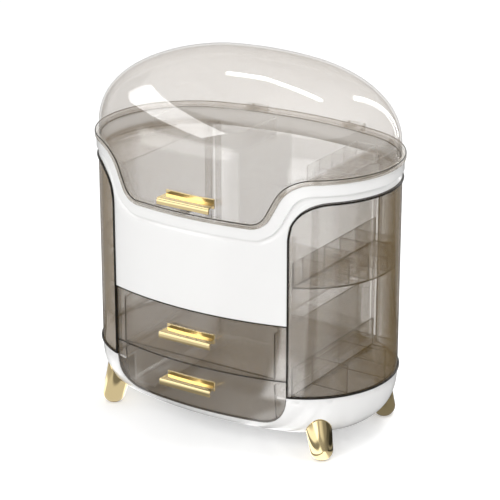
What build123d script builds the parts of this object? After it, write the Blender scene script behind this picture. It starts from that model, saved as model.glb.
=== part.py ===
"""Cosmetic organizer box: an oval cabinet with a flip-up dome, two swinging side wings and two
drawers, on four splayed feet. Millimetres, +Z up, the front faces -Y, the origin is on the floor
under the middle of the oval plan."""

import os
from math import cos, hypot, pi, radians, sin, sqrt, tan

from build123d import *

os.makedirs("parts", exist_ok=True)

# Plan of the body, an oval of four arcs that meet in tangents
half_width = 167.5
half_depth = 106.0
front_crown = 9.5

# Heights, stacked from the floor up
floor_clearance = 16.5
bowl_height = 53.1
lower_front_rise = 17.8
upper_front_height = 60.4
panel_height = 98.2
dip_depth = 50.2
side_band_height = 18.6
lid_wall_height = 12.6
dome_rise = 85.4

# Mould walls and the gaps between pieces
wall = 2.4
plate = 2.4
tray_wall = 2.0
seat_gap = 0.1
move_gap = 0.3
door_gap = 0.8
pin_clearance = 0.05

# White base bowl: how far it draws in, and how round its side is
bowl_inset = 56.8
bowl_power = 2.52
bowl_lip = 19.2
bowl_turns = (0, 18, 36, 52, 66, 78, 90)
runner_inset = 24.0
guide_setback = 28.0

# White front frame
front_half_width = 104.6
jamb_width = 10.6
dip_half_width = 82.0
dip_slope = radians(63)
dip_low_radius = 25.0
dip_top_radius = 35.0
band_width = 11.5
band_proud = 2.0
ledge_width = 5.0
deck_rise = 3.0

# Dome lid
lid_inset = 1.0
lid_wall = 2.4
dome_power = 2.2
dome_turns = (0, 15, 30, 45, 59, 71, 80, 86)
flange_proud = 3.6
flange_height = 5.0

# Lid hinge at the back
lid_axis_back = 6.0
lid_axis_rise = 0.8
lid_knuckle_radius = 4.2
lid_knuckle_width = 12.0
frame_knuckle_width = 6.0
lid_hinge_x = 60.0
hinge_pin_radius = 1.5

# Side wings
door_corner = 36.0
bead_width = 2.5
bead_proud = 2.0
return_depth = 6.0
barrel_radius = 4.5
hinge_inset_x = 0.8
door_pin_length = 16.0
left_shelf_rises = (39.0, 77.2, 115.9)
left_lip = 6.0
right_shelf_rise = 117.4
right_shelf_lip = 27.0
right_floor_lip = 32.0
right_shelf_dividers = (-69.0, -49.0, -28.0, 3.0, 34.0)
right_floor_dividers = (-49.0, 3.0, 34.0)
divider_wall = 1.6

# Drawers
drawer_side_gap = 1.0
drawer_rear_room = 28.0
upper_tray_height = 50.0
lower_tray_height = 46.0
lower_corner = 32.0
shelf_plate = 2.0
rail = 3.0

# Top compartment
compartment_rise = 4.6
divider_x = -12.0
lift_tray_end_room = 45.5
lift_tray_height = 21.0
lift_tray_rear_room = 30.0
lift_tray_corner = 8.0
rack_end_room = 18.7
rack_cell = 22.0
rack_columns = 2
rack_rows = 4
rack_height = 20.0

# Pulls
pull_half_length = 31.0
pull_taper = 2.0
pull_reach = 13.0
pull_lip = 8.0
pull_sheet = 1.6
pull_flange_up = 4.0
pull_flange_down = 6.0
pull_screw_x = 20.0
pull_screw_radius = 1.5
pull_head_radius = 2.8
pull_head_height = 1.6
lid_pull_rise = 20.9
upper_pull_rise = 35.6
lower_pull_rise = 35.3

# Feet
foot_inset_x = 34.1
foot_inset_y = 40.6
foot_splay = radians(15)
foot_tip_radius = 12.0
foot_top_radius = 14.5
foot_length = 46.0
foot_flat = 1.4
boss_radius = 6.0
boss_rise = 50.0
screw_radius = 2.0
screw_length = 34.0
screw_head_radius = 4.0
screw_head_height = 2.6

# Levels and places that follow from the sizes
base_bottom = floor_clearance
base_top = base_bottom + bowl_height
deck_bottom = base_top - plate
lip_top = base_bottom + bowl_lip
drawer_split = base_top + lower_front_rise
panel_bottom = drawer_split + upper_front_height
dip_bottom = panel_bottom + panel_height
rim_height = dip_bottom + dip_depth
frame_bottom = rim_height - side_band_height
door_top = frame_bottom - door_gap
door_bottom = base_top + move_gap
top_deck_bottom = frame_bottom + deck_rise
shoulder_height = rim_height + lid_wall_height
end_radius = half_depth - front_crown
end_centre = half_width - end_radius
jamb_inset = wall + move_gap
inner_inset = lid_inset + lid_wall + 2 * move_gap
door_edge = front_half_width + door_gap
hinge_x = door_edge + hinge_inset_x
hinge_y = sqrt((end_radius - barrel_radius) ** 2 - (hinge_x - end_centre) ** 2)
lid_axis_y = half_depth + lid_axis_back
lid_axis_z = rim_height + lid_axis_rise
reach = half_width + half_depth
cabinet_half_width = front_half_width - jamb_width
runner_x = cabinet_half_width - runner_inset
drawer_half_width = cabinet_half_width - drawer_side_gap
drawer_back = half_depth - drawer_rear_room
lift_tray_left = lift_tray_end_room - half_width
lift_tray_back = half_depth - lift_tray_rear_room
foot_x = half_width - foot_inset_x
foot_y = half_depth - foot_inset_y
guide_front = jamb_inset + wall + move_gap + guide_setback - half_depth
rack_outer_x = half_width - rack_end_room
rack_inner_x = rack_outer_x - rack_columns * (rack_cell + divider_wall) - divider_wall


def oval(inset, share=1.0, mode=Mode.ADD):
    """Face of the plan oval, moved inwards by inset and scaled by share, in the sketch that calls it."""
    a = half_width - inset
    b = half_depth - inset
    r = end_radius - inset
    rise = ((a - r) ** 2 - (b - r) ** 2) / (2 * (b - r))
    blend = r / (b + rise - r)
    joint_x = (a - r) * (1 + blend) * share
    joint_y = rise * blend * share
    side = a * share
    front = b * share
    with BuildLine() as outline:
        ThreePointArc((-joint_x, -joint_y), (0, -front), (joint_x, -joint_y))
        ThreePointArc((joint_x, -joint_y), (side, 0), (joint_x, joint_y))
        ThreePointArc((joint_x, joint_y), (0, front), (-joint_x, joint_y))
        ThreePointArc((-joint_x, joint_y), (-side, 0), (-joint_x, -joint_y))
    make_face(outline.edges(), mode=mode)


def patch(x_from, x_to, y_from, y_to, mode=Mode.ADD):
    """Rectangle between two pairs of limits, in the sketch that calls it."""
    with Locations(((x_from + x_to) / 2, (y_from + y_to) / 2)):
        Rectangle(abs(x_to - x_from), abs(y_to - y_from), mode=mode)


def front_y(x, inset=0.0):
    """Depth of the oval's front face at a distance x from the middle, as a positive number."""
    rise = (end_centre**2 - front_crown**2) / (2 * front_crown)
    return sqrt((half_depth + rise - inset) ** 2 - x**2) - rise


def dip_area(gap, closing_level):
    """Area between the rim line with its dip, moved up by gap, and a level above or below it."""
    low_x = dip_half_width - gap * tan(dip_slope / 2)
    high_x = low_x + dip_depth / tan(dip_slope)
    low = dip_bottom + gap
    high = rim_height + gap
    top_radius = dip_top_radius + gap
    low_radius = dip_low_radius - gap
    with BuildLine() as outline:
        edge = FilletPolyline(
            (-reach, high),
            (-high_x, high),
            (-low_x, low),
            (low_x, low),
            (high_x, high),
            (reach, high),
            radius=[top_radius, low_radius, low_radius, top_radius],
        )
        Polyline(edge @ 1, (reach, closing_level), (-reach, closing_level), edge @ 0)
    make_face(outline.edges())


def dip_band(outer_inset, inner_inset, low, high):
    """Band round the whole oval that follows the rim line and its dip, from low to high above it."""
    with BuildPart() as band:
        with BuildSketch(Plane.XY.offset(dip_bottom + low)):
            oval(outer_inset)
            oval(inner_inset, mode=Mode.SUBTRACT)
        extrude(amount=dip_depth + high - low)
        with BuildSketch(Plane.XZ):
            dip_area(low, dip_bottom + low - dip_depth)
        extrude(amount=reach, mode=Mode.SUBTRACT)
        with BuildSketch(Plane.XZ):
            dip_area(high, rim_height + high + dip_depth)
        extrude(amount=reach, mode=Mode.SUBTRACT)
        with BuildSketch(Plane.XZ):
            patch(-reach, reach, dip_bottom + low - dip_depth, rim_height + low)
        extrude(amount=-reach, mode=Mode.SUBTRACT)
    return band.part


def bowl_form(inset, top):
    """Solid of the bowl with its wall moved inwards by inset, and straight on above it to top."""
    depth = bowl_height - inset
    with BuildPart() as form:
        for turn in bowl_turns:
            across = max(cos(radians(turn)), 0) ** (2 / bowl_power)
            down = sin(radians(turn)) ** (2 / bowl_power)
            with BuildSketch(Plane.XY.offset(base_top - depth * down)):
                oval(inset + bowl_inset * (1 - across))
        loft()
        if top > base_top:
            with BuildSketch(Plane.XY.offset(base_top)):
                oval(inset)
            extrude(amount=top - base_top)
    return form.part


def drawer_area(grow):
    """Outline of the lower drawer's front with its round lower corners, grown by grow."""
    side = front_half_width - move_gap + grow
    low = lip_top + move_gap - grow
    high = drawer_split + grow
    with BuildLine() as outline:
        edge = FilletPolyline((-side, high), (-side, low), (side, low), (side, high), radius=lower_corner)
        Line(edge @ 1, edge @ 0)
    make_face(outline.edges())


def front_prism(grow):
    """The lower drawer's outline run forwards from the middle of the box."""
    with BuildPart() as prism:
        with BuildSketch(Plane.XZ):
            drawer_area(grow)
        extrude(amount=reach)
    return prism.part


# Gold feet: turned bullets that lean outwards, cut flat on the floor and cut to the bowl above
foot_seat = bowl_form(-seat_gap, base_top)
foot_lean = hypot(foot_x, foot_y)
foot_places = {
    "front_left": (-1, -1),
    "front_right": (1, -1),
    "rear_left": (-1, 1),
    "rear_right": (1, 1),
}


def foot_plane(side, end):
    """Plane on the floor at a foot, with its normal along the leaning foot."""
    lean_x = -side * foot_x / foot_lean * sin(foot_splay)
    lean_y = -end * foot_y / foot_lean * sin(foot_splay)
    return Plane(
        origin=(side * foot_x, end * foot_y, 0),
        x_dir=(-end * foot_y, side * foot_x, 0),
        z_dir=(lean_x, lean_y, cos(foot_splay)),
    )


def foot_profile_plane(side, end):
    """Plane through a foot's axis, to turn its profile in."""
    base = foot_plane(side, end)
    return Plane(origin=base.origin, x_dir=base.x_dir, z_dir=-base.y_dir)


for place, (side, end) in foot_places.items():
    with BuildPart() as foot:
        with BuildSketch(foot_profile_plane(side, end)) as profile:
            with BuildLine():
                tip = ThreePointArc(
                    (0, -foot_flat),
                    (foot_tip_radius * sin(pi / 4), foot_tip_radius * (1 - cos(pi / 4)) - foot_flat),
                    (foot_tip_radius, foot_tip_radius - foot_flat),
                )
                Polyline(tip @ 1, (foot_top_radius, foot_length), (0, foot_length), tip @ 0)
            make_face()
        revolve(axis=Axis(profile.workplanes[0].origin, foot_plane(side, end).z_dir))
        with BuildSketch(foot_plane(side, end).offset(boss_rise - screw_length)):
            Circle(screw_radius)
        extrude(amount=screw_length, mode=Mode.SUBTRACT)
        with BuildSketch(Plane.XY):
            patch(-reach, reach, -reach, reach)
        extrude(amount=-foot_tip_radius, mode=Mode.SUBTRACT)
        add(foot_seat, mode=Mode.SUBTRACT)
    foot.part.label = f"foot_{place}"
    export_step(foot.part, f"parts/foot_{place}.step")

with BuildPart() as foot_screws:
    for side, end in foot_places.values():
        with BuildSketch(foot_plane(side, end).offset(boss_rise - screw_length)):
            Circle(screw_radius)
        extrude(amount=screw_length)
        with BuildSketch(foot_plane(side, end).offset(boss_rise)):
            Circle(screw_head_radius)
        extrude(amount=screw_head_height)
foot_screws.part.label = "foot_screws"
export_step(foot_screws.part, "parts/foot_screws.step")

# White base bowl: a shell with the bay of the lower drawer and its screw bosses
bowl_outer = bowl_form(0, base_top)
bowl_hollow = bowl_form(wall, base_top)
bowl_jamb = bowl_form(jamb_inset + wall, base_top)

with BuildPart() as bowl_bosses:
    for side, end in foot_places.values():
        with BuildSketch(foot_plane(side, end)):
            Circle(boss_radius)
        extrude(amount=boss_rise)
    for side in (-1, 1):
        with BuildSketch(Plane.XY.offset(base_bottom)):
            with Locations((side * hinge_x, hinge_y)):
                Circle(barrel_radius)
        extrude(amount=deck_bottom - base_bottom)
    add(bowl_outer, mode=Mode.INTERSECT)

with BuildPart() as bay_jambs:
    add(bowl_hollow)
    add(bowl_jamb, mode=Mode.SUBTRACT)
    with BuildSketch(Plane.XY.offset(lip_top - wall)):
        for side in (-1, 1):
            patch(side * cabinet_half_width, side * (door_edge + wall), -reach, 0)
    extrude(amount=deck_bottom - lip_top + wall, mode=Mode.INTERSECT)

with BuildPart() as front_rebate:
    add(bowl_outer)
    add(bowl_form(jamb_inset, base_top), mode=Mode.SUBTRACT)
    add(front_prism(move_gap), mode=Mode.INTERSECT)

with BuildPart() as base_bowl:
    add(bowl_outer)
    add(bowl_hollow, mode=Mode.SUBTRACT)
    add(bowl_bosses.part)
    add(bay_jambs.part)
    add(front_rebate.part, mode=Mode.SUBTRACT)
    for side, end in foot_places.values():
        with BuildSketch(foot_plane(side, end)):
            Circle(screw_radius + seat_gap)
        extrude(amount=boss_rise, mode=Mode.SUBTRACT)
    for side in (-1, 1):
        with BuildSketch(Plane.XY.offset(deck_bottom)):
            with Locations((side * hinge_x, hinge_y)):
                Circle(hinge_pin_radius)
        extrude(amount=-door_pin_length / 2, mode=Mode.SUBTRACT)
base_bowl.part.label = "base_bowl"
export_step(base_bowl.part, "parts/base_bowl.step")

# White guides in the bowl: an upright beside the lower drawer and a ledge that it slides on
guide_space = bowl_form(wall + seat_gap, base_top)
for side, hand in ((-1, "left"), (1, "right")):
    guide_x = side * cabinet_half_width
    with BuildPart() as drawer_guide:
        with BuildSketch(Plane.XY.offset(base_bottom)):
            patch(guide_x, guide_x + side * wall, guide_front, reach)
        extrude(amount=deck_bottom - base_bottom)
        with BuildSketch(Plane.XY.offset(lip_top - wall)):
            patch(side * runner_x, guide_x, guide_front, reach)
        extrude(amount=wall)
        add(guide_space, mode=Mode.INTERSECT)
    drawer_guide.part.label = f"drawer_guide_{hand}"
    export_step(drawer_guide.part, f"parts/drawer_guide_{hand}.step")

# White deck plates that close the bowl under the wings
for side, hand in ((-1, "left"), (1, "right")):
    with BuildPart() as base_deck:
        with BuildSketch(Plane.XY.offset(deck_bottom)):
            oval(wall + move_gap)
            patch(side * cabinet_half_width, side * reach, -reach, reach, mode=Mode.INTERSECT)
            patch(0, side * door_edge, -reach, 0, mode=Mode.SUBTRACT)
            with Locations((side * hinge_x, hinge_y)):
                Circle(hinge_pin_radius, mode=Mode.SUBTRACT)
        extrude(amount=plate)
        with BuildSketch(Plane.XY.offset(deck_bottom)):
            oval(jamb_inset)
            patch(side * cabinet_half_width, side * door_edge, -reach, 0, mode=Mode.INTERSECT)
        extrude(amount=plate)
    base_deck.part.label = f"base_deck_{hand}"
    export_step(base_deck.part, f"parts/base_deck_{hand}.step")

# Smoky inner cabinet: two side walls with jambs and rails, and the curved back
shelf_bottom = drawer_split + move_gap - shelf_plate
compartment_bottom = panel_bottom + compartment_rise
for side, hand in ((-1, "left"), (1, "right")):
    inner_x = side * cabinet_half_width
    outer_x = side * (cabinet_half_width + wall)
    jamb_x = side * (front_half_width - move_gap)
    with BuildPart() as side_wall:
        with BuildSketch(Plane.XY.offset(base_top)):
            oval(inner_inset)
            patch(inner_x, outer_x, -reach, 0, mode=Mode.INTERSECT)
        extrude(amount=top_deck_bottom - base_top)
        with BuildSketch(Plane.XY.offset(base_top)):
            oval(jamb_inset)
            patch(inner_x, outer_x, 0, reach, mode=Mode.INTERSECT)
        extrude(amount=top_deck_bottom - base_top)
        with BuildSketch(Plane.XY.offset(base_top)):
            oval(jamb_inset)
            oval(jamb_inset + wall, mode=Mode.SUBTRACT)
            patch(inner_x, jamb_x, -reach, 0, mode=Mode.INTERSECT)
        extrude(amount=dip_bottom - base_top)
        for level in (shelf_bottom, compartment_bottom):
            with BuildSketch(Plane.XY.offset(level - rail)):
                patch(inner_x - side * rail, inner_x, -drawer_back, drawer_back)
            extrude(amount=rail)
    side_wall.part.label = f"side_wall_{hand}"
    export_step(side_wall.part, f"parts/side_wall_{hand}.step")

back_half_width = hinge_x - barrel_radius - door_gap
with BuildPart() as back_panel:
    with BuildSketch(Plane.XY.offset(base_top)):
        oval(0)
        oval(wall, mode=Mode.SUBTRACT)
        patch(-back_half_width, back_half_width, 0, reach, mode=Mode.INTERSECT)
    extrude(amount=frame_bottom - base_top)
back_panel.part.label = "back_panel"
export_step(back_panel.part, "parts/back_panel.step")

# Shelf between the drawers and floor of the top compartment, both on rails
plate_half_width = cabinet_half_width - seat_gap
with BuildPart() as drawer_shelf:
    with BuildSketch(Plane.XY.offset(shelf_bottom)):
        oval(inner_inset)
        patch(-plate_half_width, plate_half_width, -reach, reach, mode=Mode.INTERSECT)
    extrude(amount=shelf_plate)
drawer_shelf.part.label = "drawer_shelf"
export_step(drawer_shelf.part, "parts/drawer_shelf.step")

compartment_top = compartment_bottom + plate
with BuildPart() as compartment_floor:
    with BuildSketch(Plane.XY.offset(compartment_bottom)):
        oval(inner_inset)
        patch(-plate_half_width, plate_half_width, -reach, reach, mode=Mode.INTERSECT)
    extrude(amount=plate)
compartment_floor.part.label = "compartment_floor"
export_step(compartment_floor.part, "parts/compartment_floor.step")

# White front frame: the panel with its dip, the rim round the oval and the raised band on it
with BuildPart() as frame_lugs:
    for side in (-1, 1):
        start = side * lid_hinge_x - lid_knuckle_width / 2 - move_gap - frame_knuckle_width
        for shift in (0, frame_knuckle_width + lid_knuckle_width + 2 * move_gap):
            with BuildSketch(Plane.YZ.offset(start + shift)):
                patch(0, lid_axis_y, lid_axis_z - lid_knuckle_radius, rim_height)
                with Locations((lid_axis_y, lid_axis_z)):
                    Circle(lid_knuckle_radius)
                    Circle(hinge_pin_radius, mode=Mode.SUBTRACT)
            extrude(amount=frame_knuckle_width)
    with BuildSketch(Plane.XY.offset(dip_bottom)):
        oval(wall / 2)
    extrude(amount=reach, mode=Mode.SUBTRACT)

top_deck_top = top_deck_bottom + plate
with BuildPart() as frame_ledge:
    with BuildSketch(Plane.XY.offset(frame_bottom)):
        oval(wall / 2)
        oval(wall + ledge_width, mode=Mode.SUBTRACT)
        patch(-door_edge, door_edge, -reach, reach, mode=Mode.SUBTRACT)
        for side in (-1, 1):
            with Locations((side * hinge_x, hinge_y)):
                Circle(barrel_radius)
    extrude(amount=deck_rise)

with BuildPart() as front_frame:
    with BuildSketch(Plane.XY.offset(panel_bottom)):
        oval(0)
        oval(wall, mode=Mode.SUBTRACT)
    extrude(amount=rim_height - panel_bottom)
    with BuildSketch(Plane.XZ):
        dip_area(0, rim_height + dip_depth)
    extrude(amount=reach, mode=Mode.SUBTRACT)
    with BuildSketch(Plane.XZ):
        patch(-reach, reach, panel_bottom, frame_bottom)
    extrude(amount=-reach, mode=Mode.SUBTRACT)
    for side in (-1, 1):
        with BuildSketch(Plane.XZ):
            with BuildLine():
                opening = FilletPolyline(
                    (side * front_half_width, base_top),
                    (side * front_half_width, frame_bottom),
                    (side * reach, frame_bottom),
                    radius=door_corner + door_gap,
                )
                Polyline(opening @ 1, (side * reach, base_top), opening @ 0)
            make_face()
        extrude(amount=reach, mode=Mode.SUBTRACT)
    add(dip_band(-band_proud, wall / 2, -band_width, 0))
    add(frame_ledge.part)
    add(frame_lugs.part)
    for side in (-1, 1):
        with BuildSketch(Plane.XY.offset(frame_bottom)):
            with Locations((side * hinge_x, hinge_y)):
                Circle(hinge_pin_radius)
        extrude(amount=deck_rise, mode=Mode.SUBTRACT)
front_frame.part.label = "front_frame"
export_step(front_frame.part, "parts/front_frame.step")

# Smoky decks over the wings
for side, hand in ((-1, "left"), (1, "right")):
    with BuildPart() as top_deck:
        with BuildSketch(Plane.XY.offset(top_deck_bottom)):
            oval(inner_inset)
            patch(side * cabinet_half_width, side * reach, -reach, reach, mode=Mode.INTERSECT)
        extrude(amount=plate)
    top_deck.part.label = f"top_deck_{hand}"
    export_step(top_deck.part, f"parts/top_deck_{hand}.step")

# Clear divider in the deep compartment, and the lift-out tray that rests on it
with BuildPart() as compartment_divider:
    with BuildSketch(Plane.XY.offset(compartment_top)):
        oval(inner_inset)
        patch(divider_x, divider_x + tray_wall, 0, reach, mode=Mode.INTERSECT)
    extrude(amount=top_deck_top - compartment_top)
compartment_divider.part.label = "compartment_divider"
export_step(compartment_divider.part, "parts/compartment_divider.step")

with BuildPart() as lift_out_tray:
    with BuildSketch(Plane.XY.offset(top_deck_top)) as tray_plan:
        patch(lift_tray_left, divider_x + tray_wall, 0, lift_tray_back)
        fillet(tray_plan.vertices(), lift_tray_corner)
    extrude(amount=lift_tray_height)
    with BuildSketch(Plane.XY.offset(top_deck_top + tray_wall)) as tray_hollow:
        patch(lift_tray_left + tray_wall, divider_x, tray_wall, lift_tray_back - tray_wall)
        fillet(tray_hollow.vertices(), lift_tray_corner - tray_wall)
    extrude(amount=lift_tray_height, mode=Mode.SUBTRACT)
lift_out_tray.part.label = "lift_out_tray"
export_step(lift_out_tray.part, "parts/lift_out_tray.step")

# Clear rack of lipstick cells on the right deck
rack_half_depth = (rack_rows * (rack_cell + divider_wall) + divider_wall) / 2
with BuildPart() as lipstick_rack:
    with BuildSketch(Plane.XY.offset(top_deck_top)):
        patch(rack_inner_x, rack_outer_x, -rack_half_depth, rack_half_depth)
    extrude(amount=rack_height)
    with BuildSketch(Plane.XY.offset(top_deck_top + divider_wall)):
        pitch = rack_cell + divider_wall
        with Locations(((rack_inner_x + rack_outer_x) / 2, 0)):
            with GridLocations(pitch, pitch, rack_columns, rack_rows):
                Rectangle(rack_cell, rack_cell)
    extrude(amount=rack_height, mode=Mode.SUBTRACT)
lipstick_rack.part.label = "lipstick_rack"
export_step(lipstick_rack.part, "parts/lipstick_rack.step")


# Side wings: a curved shell with a bead round its edge, a hinge barrel, and trays inside
def door_area(side, grow):
    """Outline of a wing seen from the front, with its round top corner, grown by grow."""
    edge_x = side * (door_edge - grow)
    top = door_top + grow
    low = door_bottom - grow
    with BuildLine() as outline:
        edge = FilletPolyline((edge_x, low), (edge_x, top), (side * reach, top), radius=door_corner + grow)
        Polyline(edge @ 1, (side * reach, low), edge @ 0)
    make_face(outline.edges())


def door_bead(side):
    """Bead along a wing's front edge, top and foot, outside its skin."""
    with BuildPart() as bead:
        with BuildSketch(Plane.XY.offset(door_bottom)):
            oval(-bead_proud)
            oval(wall / 2, mode=Mode.SUBTRACT)
            patch(side * door_edge, side * reach, -reach, hinge_y - 2 * barrel_radius, mode=Mode.INTERSECT)
        extrude(amount=door_top - door_bottom)
        with BuildSketch(Plane.XZ):
            door_area(side, -bead_width)
        extrude(amount=reach, mode=Mode.SUBTRACT)
        with BuildSketch(Plane.XZ):
            patch(0, side * reach, door_bottom + bead_width, door_top - bead_width)
        extrude(amount=-reach, mode=Mode.SUBTRACT)
    return bead.part


def door_shell(side):
    """Skin of a wing with its returns, bead and hinge barrel."""
    height = door_top - door_bottom
    with BuildPart() as front_shape:
        with BuildSketch(Plane.XZ):
            door_area(side, 0)
        extrude(amount=reach)
        with BuildSketch(Plane.XZ):
            patch(0, side * reach, door_bottom, door_top)
        extrude(amount=-reach)
    with BuildPart() as shell:
        with BuildSketch(Plane.XY.offset(door_bottom)):
            oval(0)
            oval(wall, mode=Mode.SUBTRACT)
            patch(side * door_edge, side * reach, -reach, reach, mode=Mode.INTERSECT)
            patch(0, side * hinge_x, 0, reach, mode=Mode.SUBTRACT)
            with Locations((side * hinge_x, hinge_y)):
                Circle(barrel_radius)
        extrude(amount=height)
        with BuildSketch(Plane.XY.offset(door_bottom)):
            oval(wall / 2)
            oval(wall + return_depth, mode=Mode.SUBTRACT)
            patch(side * door_edge, side * (door_edge + wall), -reach, 0, mode=Mode.INTERSECT)
        extrude(amount=height)
        with BuildSketch(Plane.XY.offset(door_top - wall)):
            oval(wall / 2)
            oval(wall + return_depth, mode=Mode.SUBTRACT)
            patch(side * door_edge, side * reach, -reach, hinge_y - 2 * barrel_radius, mode=Mode.INTERSECT)
        extrude(amount=wall)
        add(door_bead(side))
        add(front_shape.part, mode=Mode.INTERSECT)
        for level, direction in ((door_bottom, 1), (door_top, -1)):
            with BuildSketch(Plane.XY.offset(level)):
                with Locations((side * hinge_x, hinge_y)):
                    Circle(hinge_pin_radius + pin_clearance)
            extrude(amount=direction * door_pin_length / 2, mode=Mode.SUBTRACT)
    return shell.part


def door_tray(side, level, lip, divider_places=()):
    """Tray across a wing: a plate, a lip on its open side, and dividers from the lip to the skin."""
    inner = door_edge + wall + seat_gap
    back = hinge_y - 2 * barrel_radius
    with BuildPart() as tray:
        with BuildSketch(Plane.XY.offset(level)):
            oval(wall + seat_gap)
            patch(side * inner, side * reach, -reach, back, mode=Mode.INTERSECT)
        extrude(amount=tray_wall)
        with BuildSketch(Plane.XY.offset(level)):
            oval(wall + seat_gap)
            patch(side * inner, side * (inner + divider_wall), -reach, back, mode=Mode.INTERSECT)
        extrude(amount=lip)
        for place in divider_places:
            with BuildSketch(Plane.XY.offset(level)):
                oval(wall + seat_gap)
                limits = (place - divider_wall / 2, place + divider_wall / 2)
                patch(side * inner, side * reach, *limits, mode=Mode.INTERSECT)
            extrude(amount=lip)
    return tray.part


for side, hand in ((-1, "left"), (1, "right")):
    wing = door_shell(side)
    wing.label = f"{hand}_wing_shell"
    export_step(wing, f"parts/{hand}_wing_shell.step")

left_trays = {"floor": door_bottom}
for name, rise in zip(("low_shelf", "middle_shelf", "high_shelf"), left_shelf_rises):
    left_trays[name] = door_bottom + rise
for name, level in left_trays.items():
    shelf = door_tray(-1, level, left_lip)
    shelf.label = f"left_wing_{name}"
    export_step(shelf, f"parts/left_wing_{name}.step")

right_floor = door_tray(1, door_bottom, right_floor_lip, right_floor_dividers)
right_floor.label = "right_wing_floor"
export_step(right_floor, "parts/right_wing_floor.step")

right_shelf = door_tray(1, door_bottom + right_shelf_rise, right_shelf_lip, right_shelf_dividers)
right_shelf.label = "right_wing_shelf"
export_step(right_shelf, "parts/right_wing_shelf.step")

with BuildPart() as wing_hinge_pins:
    for side in (-1, 1):
        for low, high in (
            (base_top - door_pin_length / 2, door_bottom + door_pin_length / 2 - door_gap),
            (door_top - door_pin_length / 2 + door_gap, top_deck_bottom),
        ):
            with BuildSketch(Plane.XY.offset(low)):
                with Locations((side * hinge_x, hinge_y)):
                    Circle(hinge_pin_radius)
            extrude(amount=high - low)
wing_hinge_pins.part.label = "wing_hinge_pins"
export_step(wing_hinge_pins.part, "parts/wing_hinge_pins.step")

# Gold pulls: folded sheet with a flange on the face, a tapered top and a lip, held by two screws
def screw_sites(level):
    """Centres of a pull's two screws in the front view."""
    height = level - (pull_sheet + pull_flange_down) / 2
    return ((-pull_screw_x, height), (pull_screw_x, height))


def pull_holes(level, radius):
    """Holes for a pull's screws, run through everything in front of the middle of the box."""
    with BuildPart() as holes:
        with BuildSketch(Plane.XZ):
            with Locations(*screw_sites(level)):
                Circle(radius)
        extrude(amount=reach)
    return holes.part


def pull(face_inset, level):
    """Pull whose flange follows the face that it is screwed to."""
    back_half_length = pull_half_length - pull_taper
    seat = face_inset - seat_gap
    front = half_depth + pull_reach
    with BuildPart() as piece:
        with BuildSketch(Plane.XY.offset(level - pull_flange_down)):
            oval(seat - pull_sheet)
            oval(seat, mode=Mode.SUBTRACT)
            patch(-back_half_length, back_half_length, -reach, 0, mode=Mode.INTERSECT)
        extrude(amount=pull_flange_down + pull_flange_up)
        add(pull_holes(level, pull_screw_radius), mode=Mode.SUBTRACT)
        with BuildSketch(Plane.XY.offset(level - pull_sheet)):
            with BuildLine():
                Polyline(
                    (-back_half_length, 0),
                    (-back_half_length, -half_depth),
                    (-pull_half_length, -front),
                    (pull_half_length, -front),
                    (back_half_length, -half_depth),
                    (back_half_length, 0),
                    close=True,
                )
            make_face()
            oval(seat - pull_sheet / 2, mode=Mode.SUBTRACT)
        extrude(amount=pull_sheet)
        with BuildSketch(Plane.XY.offset(level - pull_lip)):
            patch(-pull_half_length, pull_half_length, -front, -front + pull_sheet)
        extrude(amount=pull_lip)
    return piece.part


def pull_screws(face_inset, skin, level):
    """The two screws of a pull, with their heads inside the skin."""
    inner_face = front_y(pull_screw_x + pull_head_radius, face_inset + skin) - seat_gap
    with BuildPart() as screws:
        with BuildSketch(Plane.XZ.offset(inner_face - pull_head_height)):
            with Locations(*screw_sites(level)):
                Circle(pull_head_radius)
        extrude(amount=pull_head_height)
        with BuildSketch(Plane.XZ.offset(inner_face)):
            with Locations(*screw_sites(level)):
                Circle(pull_screw_radius)
        extrude(amount=skin + 3 * seat_gap + pull_sheet)
    return screws.part


pull_levels = {
    "lid": dip_bottom + lid_pull_rise,
    "upper_drawer": drawer_split + upper_pull_rise,
    "lower_drawer": lip_top + lower_pull_rise,
}
pull_faces = {"lid": (lid_inset, lid_wall), "upper_drawer": (0, wall), "lower_drawer": (0, wall)}
for place, level in pull_levels.items():
    face_inset, skin = pull_faces[place]
    handle = pull(face_inset, level)
    handle.label = f"{place}_pull"
    export_step(handle, f"parts/{place}_pull.step")
    screws = pull_screws(face_inset, skin, level)
    screws.label = f"{place}_pull_screws"
    export_step(screws, f"parts/{place}_pull_screws.step")

# Smoky dome lid with its bib in the dip, the flange on the rim and two hinge knuckles
def dome_form(inset):
    """Solid under the dome's skin, moved inwards by inset: a superellipse that ends in a small flat."""
    rise = dome_rise - inset
    with BuildPart() as form:
        for turn in dome_turns:
            share = cos(radians(turn)) ** (2 / dome_power)
            height = shoulder_height + rise * sin(radians(turn)) ** (2 / dome_power)
            with BuildSketch(Plane.XY.offset(height)):
                oval(lid_inset + inset, share)
        loft()
    return form.part


with BuildPart() as lid_lugs:
    for side in (-1, 1):
        with BuildSketch(Plane.YZ.offset(side * lid_hinge_x - lid_knuckle_width / 2)):
            patch(0, lid_axis_y, rim_height + move_gap, lid_axis_z + lid_knuckle_radius)
            with Locations((lid_axis_y, lid_axis_z)):
                Circle(lid_knuckle_radius)
                Circle(hinge_pin_radius + pin_clearance, mode=Mode.SUBTRACT)
        extrude(amount=lid_knuckle_width)
    with BuildSketch(Plane.XY.offset(dip_bottom)):
        oval(lid_inset + lid_wall / 2)
    extrude(amount=reach, mode=Mode.SUBTRACT)

with BuildPart() as dome_skin:
    add(dome_form(0))
    add(dome_form(lid_wall), mode=Mode.SUBTRACT)

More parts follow.
